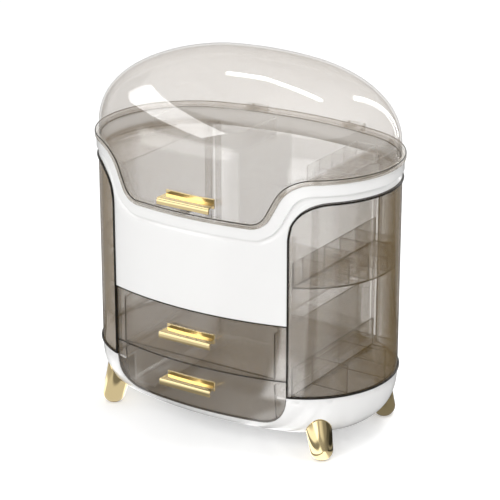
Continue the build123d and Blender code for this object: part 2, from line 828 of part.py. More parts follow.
with BuildPart() as dome_lid:
    with BuildSketch(Plane.XY.offset(dip_bottom)):
        oval(lid_inset)
        oval(lid_inset + lid_wall, mode=Mode.SUBTRACT)
    extrude(amount=shoulder_height - dip_bottom)
    with BuildSketch(Plane.XZ):
        dip_area(move_gap, dip_bottom - dip_depth)
    extrude(amount=reach, mode=Mode.SUBTRACT)
    with BuildSketch(Plane.XZ):
        patch(-reach, reach, dip_bottom - dip_depth, rim_height + move_gap)
    extrude(amount=-reach, mode=Mode.SUBTRACT)
    add(dip_band(-flange_proud, lid_inset + lid_wall / 2, move_gap, move_gap + flange_height))
    add(lid_lugs.part)
    add(dome_skin.part)
    add(pull_holes(pull_levels["lid"], pull_screw_radius + seat_gap), mode=Mode.SUBTRACT)
dome_lid.part.label = "dome_lid"
export_step(dome_lid.part, "parts/dome_lid.step")

with BuildPart() as lid_hinge_pins:
    pin_length = lid_knuckle_width + 2 * (frame_knuckle_width + move_gap)
    for side in (-1, 1):
        with BuildSketch(Plane.YZ.offset(side * lid_hinge_x - pin_length / 2)):
            with Locations((lid_axis_y, lid_axis_z)):
                Circle(hinge_pin_radius)
        extrude(amount=pin_length)
lid_hinge_pins.part.label = "lid_hinge_pins"
export_step(lid_hinge_pins.part, "parts/lid_hinge_pins.step")

# Upper drawer: a curved front wider than the tray behind it
upper_tray_bottom = shelf_bottom + shelf_plate + move_gap
front_side = front_half_width - move_gap
tray_side = drawer_half_width - tray_wall
with BuildPart() as upper_drawer:
    with BuildSketch(Plane.XY.offset(drawer_split + move_gap)):
        oval(0)
        oval(wall, mode=Mode.SUBTRACT)
        patch(-front_side, front_side, -reach, 0, mode=Mode.INTERSECT)
    extrude(amount=upper_front_height - 2 * move_gap)
    with BuildSketch(Plane.XY.offset(upper_tray_bottom)):
        oval(wall / 2)
        patch(-drawer_half_width, drawer_half_width, -reach, drawer_back, mode=Mode.INTERSECT)
    extrude(amount=upper_tray_height)
    with BuildSketch(Plane.XY.offset(upper_tray_bottom + tray_wall)):
        oval(wall)
        patch(-tray_side, tray_side, -reach, drawer_back - tray_wall, mode=Mode.INTERSECT)
    extrude(amount=upper_tray_height, mode=Mode.SUBTRACT)
    add(pull_holes(pull_levels["upper_drawer"], pull_screw_radius + seat_gap), mode=Mode.SUBTRACT)
upper_drawer.part.label = "upper_drawer"
export_step(upper_drawer.part, "parts/upper_drawer.step")

# Lower drawer: its front carries on the round of the bowl
lower_tray_bottom = lip_top + move_gap
lower_outer = bowl_form(0, drawer_split - move_gap)
lower_inner = bowl_form(wall, drawer_split + plate)

with BuildPart() as lower_tray:
    with BuildSketch(Plane.XY.offset(lower_tray_bottom)):
        patch(-drawer_half_width, drawer_half_width, -reach, drawer_back)
    extrude(amount=lower_tray_height)
    add(lower_outer, mode=Mode.INTERSECT)
    with BuildSketch(Plane.XZ):
        drawer_area(0)
    extrude(amount=reach, both=True, mode=Mode.INTERSECT)

with BuildPart() as lower_hollow:
    with BuildSketch(Plane.XY.offset(lower_tray_bottom + tray_wall)):
        patch(-tray_side, tray_side, -reach, drawer_back - tray_wall)
    extrude(amount=lower_tray_height)
    add(lower_inner, mode=Mode.INTERSECT)
    with BuildSketch(Plane.XZ):
        drawer_area(-tray_wall)
        patch(-reach, reach, drawer_split - 2 * tray_wall, drawer_split + tray_wall)
    extrude(amount=reach, both=True, mode=Mode.INTERSECT)

with BuildPart() as lower_drawer:
    add(lower_outer)
    add(lower_inner, mode=Mode.SUBTRACT)
    add(front_prism(0), mode=Mode.INTERSECT)
    add(lower_tray.part)
    add(lower_hollow.part, mode=Mode.SUBTRACT)
    add(pull_holes(pull_levels["lower_drawer"], pull_screw_radius + seat_gap), mode=Mode.SUBTRACT)
lower_drawer.part.label = "lower_drawer"
export_step(lower_drawer.part, "parts/lower_drawer.step")
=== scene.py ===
from math import asin, atan2, cos, hypot, pi, radians, sin, sqrt, tan

import bmesh
import bpy
from mathutils import Matrix, Vector


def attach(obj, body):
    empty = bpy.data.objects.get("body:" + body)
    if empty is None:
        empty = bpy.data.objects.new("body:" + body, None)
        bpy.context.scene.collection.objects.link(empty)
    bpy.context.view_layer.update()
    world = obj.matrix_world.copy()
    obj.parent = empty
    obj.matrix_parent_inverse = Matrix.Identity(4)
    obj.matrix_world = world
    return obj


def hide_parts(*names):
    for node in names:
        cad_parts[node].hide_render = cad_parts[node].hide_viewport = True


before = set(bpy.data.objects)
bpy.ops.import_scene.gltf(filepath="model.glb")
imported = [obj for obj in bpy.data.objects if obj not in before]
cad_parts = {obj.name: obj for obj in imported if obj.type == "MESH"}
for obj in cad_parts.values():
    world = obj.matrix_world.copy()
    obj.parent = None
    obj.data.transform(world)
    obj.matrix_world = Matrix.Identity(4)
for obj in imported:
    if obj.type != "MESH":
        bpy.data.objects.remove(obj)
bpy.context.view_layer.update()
scene = bpy.context.scene
scene.view_settings.view_transform = "Standard"
# A line of sight crosses many clear layers: walls, wings and cells, and the lid over them
scene.cycles.transparent_max_bounces = 40

# White base bowl
# Injection-moulded gloss white plastic, drawn in below like a dish, with an open bay in front for the
# lower drawer. It is one moulding, and its wall is the same all over.
END_X, END_R = 0.0710, 0.0965
CROWN_Y, CROWN_R = 0.260571, 0.366571
JOINT_TURN = atan2(END_X, CROWN_Y)
BASE_BOTTOM, BASE_TOP = 0.0165, 0.0696
BOWL_INSET, BOWL_POWER = 0.0568, 2.52
LIP_TOP, BAY_HALF, BAY_CORNER = 0.0357, 0.1046, 0.0320
WALL, FINE_EDGE, BOWL_EDGE = 0.0024, 0.0003, 0.0005
SAME_TURN, LEAST_TURN, MERGE_DIST, SHARP_ANGLE = 1e-6, 1e-3, 2e-6, radians(40)


def oval_place(turn, inset=0.0):
    """Point of the oval plan whose outward direction is turned from the front by an angle."""
    turn = (turn + pi) % (2 * pi) - pi
    side = 1 if turn >= 0 else -1
    turn = abs(turn)
    if turn < JOINT_TURN:
        return side * (CROWN_R - inset) * sin(turn), CROWN_Y - (CROWN_R - inset) * cos(turn)
    if turn > pi - JOINT_TURN:
        return side * (CROWN_R - inset) * sin(turn), -CROWN_Y - (CROWN_R - inset) * cos(turn)
    return side * (END_X + (END_R - inset) * sin(turn)), -(END_R - inset) * cos(turn)


def front_turn(x):
    """Turn of the front's point at a distance x to the side."""
    side, x = (1 if x >= 0 else -1), abs(x)
    if x < CROWN_R * sin(JOINT_TURN):
        return side * asin(x / CROWN_R)
    return side * asin(min((x - END_X) / END_R, 1.0))


def turns_between(start, stop, marks=(), step=2.5):
    """Even turns from start to stop by a step in degrees, with exact ones at the marks."""
    count = max(int(abs(stop - start) / radians(step)), 1)
    found = [start + (stop - start) * k / count for k in range(count + 1)]
    found += [m for m in marks if min(start, stop) < m < max(start, stop)]
    found.sort()
    kept = [found[0]]
    for turn in found[1:]:
        if turn - kept[-1] > LEAST_TURN:
            kept.append(turn)
    return kept


def span(low, high, count):
    return [low + (high - low) * k / count for k in range(count + 1)]


def join_lines(mesh, lines, around=False, flip=False):
    """Faces from each line of points to the next, and from the last to the first if it goes around."""
    for left, right in zip(lines, lines[1:] + (lines[:1] if around else [])):
        for k in range(len(left) - 1):
            corners = (left[k], right[k], right[k + 1], left[k + 1])
            mesh.faces.new(corners[:1] + corners[:0:-1] if flip else corners)


def lay_skin(mesh, turns, column, around=False, place=oval_place):
    """Skin whose column at each turn is a list of (inset, share, height)."""
    lines = []
    for turn in turns:
        lines.append([])
        for inset, share, z in column(turn):
            x, y = place(turn, inset)
            lines[-1].append(mesh.verts.new((x * share, y * share, z)))
    join_lines(mesh, lines, around)


def put_in_scene(name, data):
    """New object of the scene that shows a mesh, a camera or a lamp."""
    thing = bpy.data.objects.new(name, data)
    scene.collection.objects.link(thing)
    return thing


def make_piece(name, mesh, wall=0.0, edge=0.0, finishes=()):
    """Plain mesh object from laid faces: merged, given its wall inwards and its edges rounded.
    A second material goes on the wall's cut edges: tint with painted shade on smoky parts, a painted
    highlight on clear ones."""
    bmesh.ops.remove_doubles(mesh, verts=mesh.verts, dist=MERGE_DIST)
    bmesh.ops.dissolve_degenerate(mesh, edges=mesh.edges, dist=MERGE_DIST / 2)
    for face in mesh.faces:
        face.smooth = True
    data = bpy.data.meshes.new(name)
    mesh.to_mesh(data)
    mesh.free()
    piece = put_in_scene(name, data)
    for finish in finishes:
        data.materials.append(finish)
    if wall:
        solid = piece.modifiers.new("wall", "SOLIDIFY")
        solid.thickness = wall
        solid.offset = -1
        solid.use_even_offset = True
        solid.material_offset_rim = len(finishes) - 1
    if edge:
        round_off = piece.modifiers.new("edge", "BEVEL")
        round_off.width = edge
        round_off.segments = 2
        round_off.limit_method = "ANGLE"
        round_off.angle_limit = SHARP_ANGLE
        round_off.harden_normals = True
    return piece


def bowl_inset_at(z):
    """How far the bowl's side has drawn in at a height."""
    down = min(max((BASE_TOP - z) / (BASE_TOP - BASE_BOTTOM), 0.0), 1.0)
    across = max(1 - down**BOWL_POWER, 0.0) ** (1 / BOWL_POWER)
    return BOWL_INSET * (1 - across)


def bay_floor(x, grow=0.0):
    """Height of the bay's lower edge, which turns up round a corner at each side."""
    over = abs(x) - (BAY_HALF + grow - BAY_CORNER)
    low = LIP_TOP - grow
    if over <= 0:
        return low
    return low + BAY_CORNER - sqrt(max(BAY_CORNER**2 - over**2, 0.0))


def feed(node, inputs):
    """Sets each named input of a node to a value, or links another node's output to it."""
    for label, value in inputs.items():
        if isinstance(value, bpy.types.NodeSocket):
            node.id_data.links.new(value, node.inputs[label])
        else:
            node.inputs[label].default_value = value


def add_node(tree, kind, inputs=None, **settings):
    """New node with its settings made and its inputs fed."""
    node = tree.nodes.new(kind)
    for label, value in settings.items():
        setattr(node, label, value)
    feed(node, inputs or {})
    return node


def math_node(tree, kind, first, second):
    """What a sum on two values or outputs gives."""
    return add_node(tree, "ShaderNodeMath", {0: first, 1: second}, operation=kind).outputs[0]


def moulded_group():
    """Handling marks of a polished piece: faint changes of gloss and tone, and a slow waviness."""
    group = bpy.data.node_groups.new("handling_marks", "ShaderNodeTree")
    for in_out, kind, labels in (
        ("INPUT", "Color", ("Colour",)),
        ("INPUT", "Float", ("Roughness", "Gloss change", "Tone change", "Scale")),
        ("OUTPUT", "Color", ("Colour",)), ("OUTPUT", "Float", ("Roughness", "Height")),
    ):
        for label in labels:
            group.interface.new_socket(label, in_out=in_out, socket_type="NodeSocket" + kind)
    given = add_node(group, "NodeGroupInput").outputs
    place = add_node(group, "ShaderNodeTexCoord").outputs["Object"]
    slow = add_node(group, "ShaderNodeTexNoise", {
        "Vector": place, "Scale": given["Scale"], "Detail": 2.0}).outputs["Fac"]
    fine = add_node(group, "ShaderNodeTexNoise", {
        "Vector": place, "Scale": 420.0, "Detail": 5.0}).outputs["Fac"]
    gloss = math_node(group, "MULTIPLY", math_node(group, "SUBTRACT", fine, 0.5), given["Gloss change"])
    tone = math_node(group, "MULTIPLY", math_node(group, "SUBTRACT", slow, 0.5), given["Tone change"])
    shade = add_node(group, "ShaderNodeHueSaturation", {
        "Color": given["Colour"], "Value": math_node(group, "ADD", tone, 1.0)})
    add_node(group, "NodeGroupOutput", {
        "Colour": shade.outputs["Color"], "Roughness": math_node(group, "ADD", gloss, given["Roughness"]),
        "Height": slow})
    return group


def finish_material(name, colour, roughness, gloss_change, tone_change, scale, bump, more=None):
    """Material on a Principled shader whose colour, gloss and waviness come from the handling marks."""
    paint = bpy.data.materials.new(name)
    paint.use_nodes = True
    tree = paint.node_tree
    marks = add_node(tree, "ShaderNodeGroup", {
        "Colour": (*colour, 1), "Roughness": roughness, "Gloss change": gloss_change,
        "Tone change": tone_change, "Scale": scale,
    }, node_tree=bpy.data.node_groups.get("handling_marks") or moulded_group()).outputs
    wave = add_node(tree, "ShaderNodeBump", {"Strength": 0.3, "Distance": bump, "Height": marks["Height"]})
    feed(tree.nodes["Principled BSDF"], {
        "Base Color": marks["Colour"], "Roughness": marks["Roughness"], "Normal": wave.outputs["Normal"],
        **(more or {})})
    return paint


white_plastic = finish_material("white_plastic", (0.91, 0.905, 0.895), 0.20, 0.06, 0.02, 30.0, 0.0002,
                                {"Coat Weight": 0.3, "Coat Roughness": 0.06})


def oval_depth(x, inset=0.0):
    """Depth of the oval at a distance x from the middle, for a line moved inwards by inset."""
    x = abs(x)
    if x <= (CROWN_R - inset) * sin(JOINT_TURN):
        return sqrt((CROWN_R - inset) ** 2 - x**2) - CROWN_Y
    return sqrt(max((END_R - inset) ** 2 - (x - END_X) ** 2, 0.0))


bay_turn = front_turn(BAY_HALF)


def bowl_place(turn, inset):
    """Place on the bowl's line, with straight upright columns across the bay."""
    turn = (turn + pi) % (2 * pi) - pi
    side = 1 if turn >= 0 else -1
    if abs(turn) <= bay_turn + SAME_TURN:
        x = oval_place(turn)[0]
        return x, -oval_depth(x, inset)
    if abs(turn) < pi / 2:
        edge = asin((BAY_HALF - END_X) / (END_R - inset))
        left_over = 1 - (abs(turn) - bay_turn) / (pi / 2 - bay_turn)
        turn += side * (edge - bay_turn) * left_over
    return oval_place(turn, inset)


bowl_mesh = bmesh.new()
corner_marks = [s * front_turn(x) for s in (-1, 1) for x in span(BAY_HALF - BAY_CORNER, BAY_HALF, 16)]
round_turns = turns_between(-pi, pi, corner_marks + [JOINT_TURN, -JOINT_TURN])[:-1]
corner_top = LIP_TOP + BAY_CORNER


def bowl_lower(turn):
    front = abs(turn) <= bay_turn + SAME_TURN
    top = bay_floor(oval_place(turn)[0]) if front else corner_top
    heights = [BASE_BOTTOM + (top - BASE_BOTTOM) * share**2 for share in span(0, 1, 20)]
    return [(bowl_inset_at(z), 1.0, z) for z in heights]


def bowl_upper(turn):
    return [(bowl_inset_at(z), 1.0, z) for z in span(corner_top, BASE_TOP, 2)]


lay_skin(bowl_mesh, round_turns, bowl_lower, around=True, place=bowl_place)
side_turns = turns_between(bay_turn, 2 * pi - bay_turn, [t % (2 * pi) for t in round_turns])
lay_skin(bowl_mesh, side_turns, bowl_upper, place=bowl_place)
bottom = [bowl_mesh.verts.new((*bowl_place(t, BOWL_INSET), BASE_BOTTOM)) for t in round_turns]
bowl_mesh.faces.new(list(reversed(bottom)))
bowl = make_piece("base_bowl_skin", bowl_mesh, WALL, BOWL_EDGE, [white_plastic])
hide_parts("base_bowl")
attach(bowl, "cabinet")

# Drawer guides and base decks
# White mouldings in the bowl: two L-shaped guides that the lower drawer runs between, and two flat decks
# that close the bowl under the wings. They are pressed in.


def paint_node(material, *names):
    """Gives a carried-over piece its finish."""
    for name in names:
        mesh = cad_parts[name].data
        mesh.materials.clear()
        mesh.materials.append(material)


paint_node(white_plastic, "drawer_guide_left", "drawer_guide_right", "base_deck_left", "base_deck_right")

# Feet
# Four turned bullets with a bright gold plate, leaning outwards, flat where they stand and cut to the
# bowl above. Each is held by one screw from inside the bowl.
FOOT_X, FOOT_Y, FOOT_SPLAY = 0.1334, 0.0654, radians(15)
FOOT_TIP_R, FOOT_TOP_R, FOOT_LENGTH, FOOT_FLAT = 0.0120, 0.0145, 0.0460, 0.0014
FOOT_GAP, FOOT_LEAST, FOOT_CROWDING = 0.0006, 0.0040, 1.6

gold_metal = finish_material("gold_metal", (0.77, 0.62, 0.34), 0.07, 0.04, 0.03, 60.0, 0.00003,
                             {"Metallic": 1.0})


def inset_at(x, y):
    """How far a point lies inside the oval."""
    x, y = abs(x), abs(y)
    if x > END_X and atan2(x - END_X, y) > JOINT_TURN:
        return END_R - hypot(x - END_X, y)
    return CROWN_R - hypot(x, y + CROWN_Y)


def foot_radius(along):
    """Radius of the bullet at a distance along its axis from where the axis meets the floor."""
    along += FOOT_FLAT
    if along < FOOT_TIP_R:
        return sqrt(max(FOOT_TIP_R**2 - (FOOT_TIP_R - along) ** 2, 0.0))
    share = (along - FOOT_TIP_R) / (FOOT_LENGTH + FOOT_FLAT - FOOT_TIP_R)
    return FOOT_TIP_R + (FOOT_TOP_R - FOOT_TIP_R) * share


def foot_line(stand, axis, way):
    """Points on one side of the bullet, from its flat tip up to the bowl."""
    def point_at(along):
        return stand + axis * along + way * foot_radius(along)

    low, high = FOOT_LEAST, FOOT_LENGTH
    for _ in range(30):
        middle = (low + high) / 2
        point = point_at(middle)
        inside = point.z > BASE_BOTTOM and inset_at(point.x, point.y) > bowl_inset_at(point.z) + FOOT_GAP
        low, high = (low, middle) if inside else (middle, high)
    return [point_at(-FOOT_FLAT + (high + FOOT_FLAT) * share**FOOT_CROWDING) for share in span(0, 1, 26)]


for hand_x, hand_y, place_name in ((-1, -1, "front_left"), (1, -1, "front_right"),
                                   (-1, 1, "rear_left"), (1, 1, "rear_right")):
    lean = Vector((-hand_x * FOOT_X, -hand_y * FOOT_Y, 0)).normalized() * sin(FOOT_SPLAY)
    axis = Vector((lean.x, lean.y, cos(FOOT_SPLAY)))
    across = axis.orthogonal().normalized()
    beside = axis.cross(across)
    stand = Vector((hand_x * FOOT_X, hand_y * FOOT_Y, 0))
    foot_mesh = bmesh.new()
    rings = []
    for turn in span(0, 2 * pi, 48)[:-1]:
        line = foot_line(stand, axis, across * cos(turn) + beside * sin(turn))
        rings.append([foot_mesh.verts.new((point.x, point.y, max(point.z, 0.0))) for point in line])
    join_lines(foot_mesh, rings, around=True)
    foot_mesh.faces.new([line[-1] for line in rings])
    foot = make_piece(f"foot_{place_name}_turned", foot_mesh, 0.0, 0.0, [gold_metal])
    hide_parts(f"foot_{place_name}")
    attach(foot, "cabinet")

# Inner cabinet
# Walls, back, shelf and compartment floor in clear plastic with a smoky tint, polished on both sides.
# They slide into rails and are bonded.
CLEAR_IOR = 2.4


def clear_material(name, colour, alpha, rim_alpha, fall_power=4.0):
    """Tinted clear plastic: what shows through falls off towards the rim, and the gloss stays."""
    paint = finish_material(name, colour, 0.04, 0.02, 0.04, 8.0, 0.00005, {
        "IOR": CLEAR_IOR, "Specular IOR Level": 1.0, "Coat Weight": 1.0, "Coat Roughness": 0.02,
        "Coat IOR": CLEAR_IOR})
    tree = paint.node_tree
    facing = add_node(tree, "ShaderNodeLayerWeight", {"Blend": 0.5}).outputs["Facing"]
    spread = add_node(tree, "ShaderNodeMapRange", {
        "Value": math_node(tree, "POWER", facing, fall_power), "To Min": alpha, "To Max": rim_alpha})
    feed(tree.nodes["Principled BSDF"], {"Alpha": spread.outputs["Result"]})
    return paint


smoky_plastic = clear_material("smoky_plastic", (0.25, 0.155, 0.045), 0.19, 0.75)
# Near-black, nearly opaque edge material: the smoky tint seen through a cut edge, deepened into painted
# shade for the dark lines along edges, beads and gaps
edge_tint_and_shade = finish_material("edge_tint_and_shade", (0.016, 0.013, 0.010), 0.25, 0.05, 0.05, 30.0, 0.00002,
                             {"Alpha": 0.93, "Specular IOR Level": 0.25})
clear_plastic = clear_material("clear_plastic", (0.70, 0.68, 0.65), 0.06, 0.6)
# Paler and less clear than the clear plastic: a painted highlight for the light that the clear parts' cut
# edges catch
clear_edge = clear_material("clear_edge", (0.75, 0.73, 0.70), 0.45, 0.8)
steel = finish_material("steel", (0.60, 0.60, 0.62), 0.28, 0.1, 0.05, 200.0, 0.00003, {"Metallic": 1.0})
paint_node(smoky_plastic, "side_wall_left", "side_wall_right", "back_panel", "drawer_shelf",
           "compartment_floor", "top_deck_left", "top_deck_right")
paint_node(steel, "foot_screws", "wing_hinge_pins", "lid_hinge_pins", "lid_pull_screws",
           "upper_drawer_pull_screws", "lower_drawer_pull_screws")
paint_node(clear_plastic, "compartment_divider")

# Lift-out tray and rack of cells
# Clear mouldings that stand in the top of the cabinet: a shallow tray with round corners, and a block of
# square cells. Their cut edges catch the light.
TRAY_LEFT, TRAY_RIGHT, TRAY_BACK, TRAY_FOOT, TRAY_HIGH = -0.1220, -0.0100, 0.0760, 0.2830, 0.0210
RACK_FROM, CELL, CELL_WALL, RACK_HIGH, RACK_COLUMNS, RACK_ROWS = 0.1000, 0.0220, 0.0016, 0.0200, 2, 4
MOVE_GAP, TRAY_WALL, TRAY_CORNER, CELL_EDGE_AREA = 0.0003, 0.0020, 0.0080, 2.5e-4

tray_outline = []
for corner_x, corner_y, first_turn in ((TRAY_RIGHT, TRAY_BACK, 0), (TRAY_LEFT, TRAY_BACK, pi / 2),
                                       (TRAY_LEFT, 0.0, pi), (TRAY_RIGHT, 0.0, 3 * pi / 2)):
    round_x = corner_x + (TRAY_CORNER if corner_x == TRAY_LEFT else -TRAY_CORNER)
    round_y = corner_y + (TRAY_CORNER if corner_y == 0.0 else -TRAY_CORNER)
    tray_outline += [(round_x + TRAY_CORNER * cos(t), round_y + TRAY_CORNER * sin(t))
                     for t in span(first_turn, first_turn + pi / 2, 8)]
tray_mesh = bmesh.new()
tray_low = [tray_mesh.verts.new((x, y, TRAY_FOOT)) for x, y in tray_outline]
tray_rim = [tray_mesh.verts.new((x, y, TRAY_FOOT + TRAY_HIGH)) for x, y in tray_outline]
tray_mesh.faces.new(list(reversed(tray_low)))
join_lines(tray_mesh, list(zip(tray_low, tray_rim)), around=True)
lift_tray = make_piece("lift_out_tray_shell", tray_mesh, TRAY_WALL, FINE_EDGE, [clear_plastic, clear_edge])
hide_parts("lift_out_tray")
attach(lift_tray, "cabinet")


def grow_piece(name, source, tree, sizes):
    """Runs a geometry tree on a source mesh and keeps the result as a plain mesh object."""
    holder = put_in_scene(name + "_source", source)
    growth = holder.modifiers.new("growth", "NODES")
    growth.node_group = tree
    sockets = {s.name: s.identifier for s in tree.interface.items_tree if s.in_out == "INPUT"}
    for label, value in sizes.items():
        growth[sockets[label]] = value
    bpy.context.view_layer.update()
    shape = bpy.data.meshes.new_from_object(holder.evaluated_get(bpy.context.evaluated_depsgraph_get()))
    bpy.data.objects.remove(holder)
    return put_in_scene(name, shape)


def open_tree(name, **sockets):
    """New geometry tree with a mesh in and out and inputs by kind: the tree, its inputs and its end."""
    tree = bpy.data.node_groups.new(name, "GeometryNodeTree")
    tree.interface.new_socket("Geometry", in_out="INPUT", socket_type="NodeSocketGeometry")
    for kind, labels in sockets.items():
        for label in labels:
            tree.interface.new_socket(label, in_out="INPUT", socket_type="NodeSocket" + kind)
    tree.interface.new_socket("Geometry", in_out="OUTPUT", socket_type="NodeSocketGeometry")
    return tree, tree.nodes.new("NodeGroupInput").outputs, tree.nodes.new("NodeGroupOutput")


def vector_node(tree, x=0.0, y=0.0, z=0.0):
    return add_node(tree, "ShaderNodeCombineXYZ", {"X": x, "Y": y, "Z": z}).outputs["Vector"]


def set_out(tree, points, shape, **inputs):
    """Copies of a shape at points."""
    return add_node(tree, "GeometryNodeInstanceOnPoints", {
        "Points": points, "Instance": shape, **inputs}).outputs["Instances"]


def finish_all(tree, given, shape):
    """Realizes the copies and gives them their finish."""
    real = add_node(tree, "GeometryNodeRealizeInstances", {"Geometry": shape})
    return add_node(tree, "GeometryNodeSetMaterial", {
        "Geometry": real.outputs["Geometry"], "Material": given["Finish"]}).outputs["Geometry"]


def finish_by_face(tree, given, shape):
    """Realizes the copies, and gives the small faces, which are the walls' cut edges, the edge material:
    painted shade on smoky parts, a painted highlight on clear ones.
    """
    area = add_node(tree, "GeometryNodeInputMeshFaceArea").outputs["Area"]
    small = add_node(tree, "FunctionNodeCompare", {"A": area, "B": given["Edge area"]},
                     data_type="FLOAT", operation="LESS_THAN")
    return add_node(tree, "GeometryNodeSetMaterial", {
        "Geometry": finish_all(tree, given, shape), "Selection": small.outputs["Result"],
        "Material": given["Edge shade and highlight"]}).outputs["Geometry"]


def cell_tree():
    """Geometry nodes: a floor plate, and upright walls set out across it and along it."""
    tree, given, leave = open_tree(
        "cell_rack", Int=("Columns", "Rows"), Float=("Pitch", "Wall", "Height", "Edge area"),
        Material=("Finish", "Edge shade and highlight"))

    def times(first, second):
        return math_node(tree, "MULTIPLY", first, second)

    columns, rows, pitch, wall, height = (given[s] for s in ("Columns", "Rows", "Pitch", "Wall", "Height"))
    wide = math_node(tree, "ADD", times(columns, pitch), wall)
    deep = math_node(tree, "ADD", times(rows, pitch), wall)
    half_up, half_wall, middle_x = times(height, 0.5), times(wall, 0.5), times(wide, 0.5)
    start_y = times(math_node(tree, "SUBTRACT", wall, deep), 0.5)
    join = tree.nodes.new("GeometryNodeJoinGeometry")
    for count, size, start, step in (
        (columns, (wall, deep, height), (half_wall, 0.0, half_up), (pitch,)),
        (rows, (wide, wall, height), (middle_x, start_y, half_up), (0.0, pitch)),
    ):
        line = add_node(tree, "GeometryNodeMeshLine", {
            "Count": math_node(tree, "ADD", count, 1), "Start Location": vector_node(tree, *start),
            "Offset": vector_node(tree, *step)})
        plate = add_node(tree, "GeometryNodeMeshCube", {"Size": vector_node(tree, *size)})
        feed(join, {"Geometry": set_out(tree, line.outputs["Mesh"], plate.outputs["Mesh"])})
    floor_plate = add_node(tree, "GeometryNodeMeshCube", {"Size": vector_node(tree, wide, deep, wall)})
    lay = add_node(tree, "GeometryNodeTransform", {
        "Geometry": floor_plate.outputs["Mesh"],
        "Translation": vector_node(tree, middle_x, 0.0, half_wall)})
    feed(join, {"Geometry": lay.outputs["Geometry"]})
    rack_copies = set_out(tree, given["Geometry"], join.outputs["Geometry"])
    feed(leave, {"Geometry": finish_by_face(tree, given, rack_copies)})
    return tree


rack_place = bpy.data.meshes.new("rack_place")
rack_place.from_pydata([(RACK_FROM, 0.0, TRAY_FOOT)], [], [])
rack = grow_piece("lipstick_rack_cells", rack_place, cell_tree(), {
    "Columns": RACK_COLUMNS, "Rows": RACK_ROWS, "Pitch": CELL + CELL_WALL, "Wall": CELL_WALL,
    "Height": RACK_HIGH, "Edge area": CELL_EDGE_AREA, "Finish": clear_plastic, "Edge shade and highlight": clear_edge})
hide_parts("lipstick_rack")
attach(rack, "cabinet")

# White front frame
# Gloss white moulding: the panel with its dip in front, posts that widen into the rim, and a raised band
# that follows the rim all round.
PANEL_BOTTOM, DIP_BOTTOM, RIM, FRAME_BOTTOM = 0.1478, 0.2460, 0.2962, 0.2776
DIP_HALF, DIP_DEPTH, DIP_SLOPE = 0.0820, RIM - DIP_BOTTOM, radians(63)
DIP_LOW_R, DIP_TOP_R, DIP_FROM, DIP_TO = 0.0250, 0.0350, 0.060, 0.135
DOOR_CORNER, DOOR_GAP = 0.0360, 0.0008
FRAME_ARCH, ROW_GAP, FRAME_EDGE, BAND_EDGE = DOOR_CORNER + DOOR_GAP, 0.0001, 0.0004, 0.0006
BAND_WIDTH, BAND_PROUD, BAND_DEEP = 0.0115, 0.0020, 0.00235
# Distances down from the rim line, and the cove's depth at each
COVE_DEEP = ((0.0184, 0.0), (0.0172, 0.0002), (0.0160, 0.0008), (0.0148, 0.0015), (0.0134, 0.0020),
             (0.0118, 0.0022), (0.0105, 0.0022), (0.0010, 0.0))


def rim_line(x, y, gap=0.0):
    """Height of the rim line at a place, moved upwards by gap: it dips in front and is level behind."""
    high = RIM + gap
    if y > 0:
        return high
    x = abs(x)
    low_x = DIP_HALF - gap * tan(DIP_SLOPE / 2)
    high_x = low_x + DIP_DEPTH / tan(DIP_SLOPE)
    low = DIP_BOTTOM + gap
    low_r, top_r = DIP_LOW_R - gap, DIP_TOP_R + gap
    low_tangent, top_tangent = low_r * tan(DIP_SLOPE / 2), top_r * tan(DIP_SLOPE / 2)
    if x <= low_x - low_tangent:
        return low
    if x <= low_x + low_tangent * cos(DIP_SLOPE):
        return low + low_r - sqrt(low_r**2 - (x - low_x + low_tangent) ** 2)
    if x <= high_x - top_tangent * cos(DIP_SLOPE):
        return low + (x - low_x) * tan(DIP_SLOPE)
    if x <= high_x + top_tangent:
        return high - top_r + sqrt(top_r**2 - (high_x + top_tangent - x) ** 2)
    return high


post_top = FRAME_BOTTOM - FRAME_ARCH
opening_end = BAY_HALF + FRAME_ARCH
dip_marks = [s * front_turn(x) for s in (-1, 1) for x in span(DIP_FROM, DIP_TO, 45)]
arch_marks = [s * front_turn(x) for s in (-1, 1) for x in span(BAY_HALF, opening_end, 14)]
rim_turns = turns_between(-pi, pi, dip_marks + arch_marks)[:-1]
panel_turns = [t for t in rim_turns if abs(t) <= bay_turn + SAME_TURN]


def frame_foot(x, y):
    """Lower edge of the frame's rim: level, with a round arch up from each post."""
    if y > 0 or abs(x) >= opening_end:
        return FRAME_BOTTOM
    over = FRAME_ARCH - max(abs(x) - BAY_HALF, 0.0)
    return post_top + sqrt(max(FRAME_ARCH**2 - over**2, 0.0))


def cove_marks(turn):
    """Heights and depths of the shallow cove under the raised band."""
    x, y = oval_place(turn)
    return [(rim_line(x, y, -down), depth) for down, depth in COVE_DEEP]


def cove_column(marks, heights):
    """Column of the frame's face at these heights, set back where they cross the cove."""
    found = []
    for z in heights:
        depth = 0.0
        for (low, low_depth), (high, high_depth) in zip(marks, marks[1:]):
            if low <= z <= high:
                depth = low_depth + (high_depth - low_depth) * (z - low) / (high - low)
        found.append((depth, 1.0, z))
    return found


def panel_column(turn):
    marks = cove_marks(turn)
    room = [post_top - ROW_GAP * (len(marks) - k) for k in range(len(marks))]
    heights = [min(mark[0], most) for mark, most in zip(marks, room)]
    return cove_column(marks, span(PANEL_BOTTOM, heights[0], 8) + heights[1:] + [post_top])


def rim_column(turn):
    marks = cove_marks(turn)
    low = post_top if abs(turn) <= bay_turn + SAME_TURN else frame_foot(*oval_place(turn))
    heights = span(low, max(marks[0][0], low + ROW_GAP), 5)
    for mark in marks[1:]:
        heights.append(max(mark[0], heights[-1] + ROW_GAP))
    return cove_column(marks, heights)


frame_mesh = bmesh.new()
lay_skin(frame_mesh, panel_turns, panel_column)
lay_skin(frame_mesh, rim_turns, rim_column, around=True)
front_frame = make_piece("front_frame_skin", frame_mesh, WALL, FRAME_EDGE, [white_plastic])


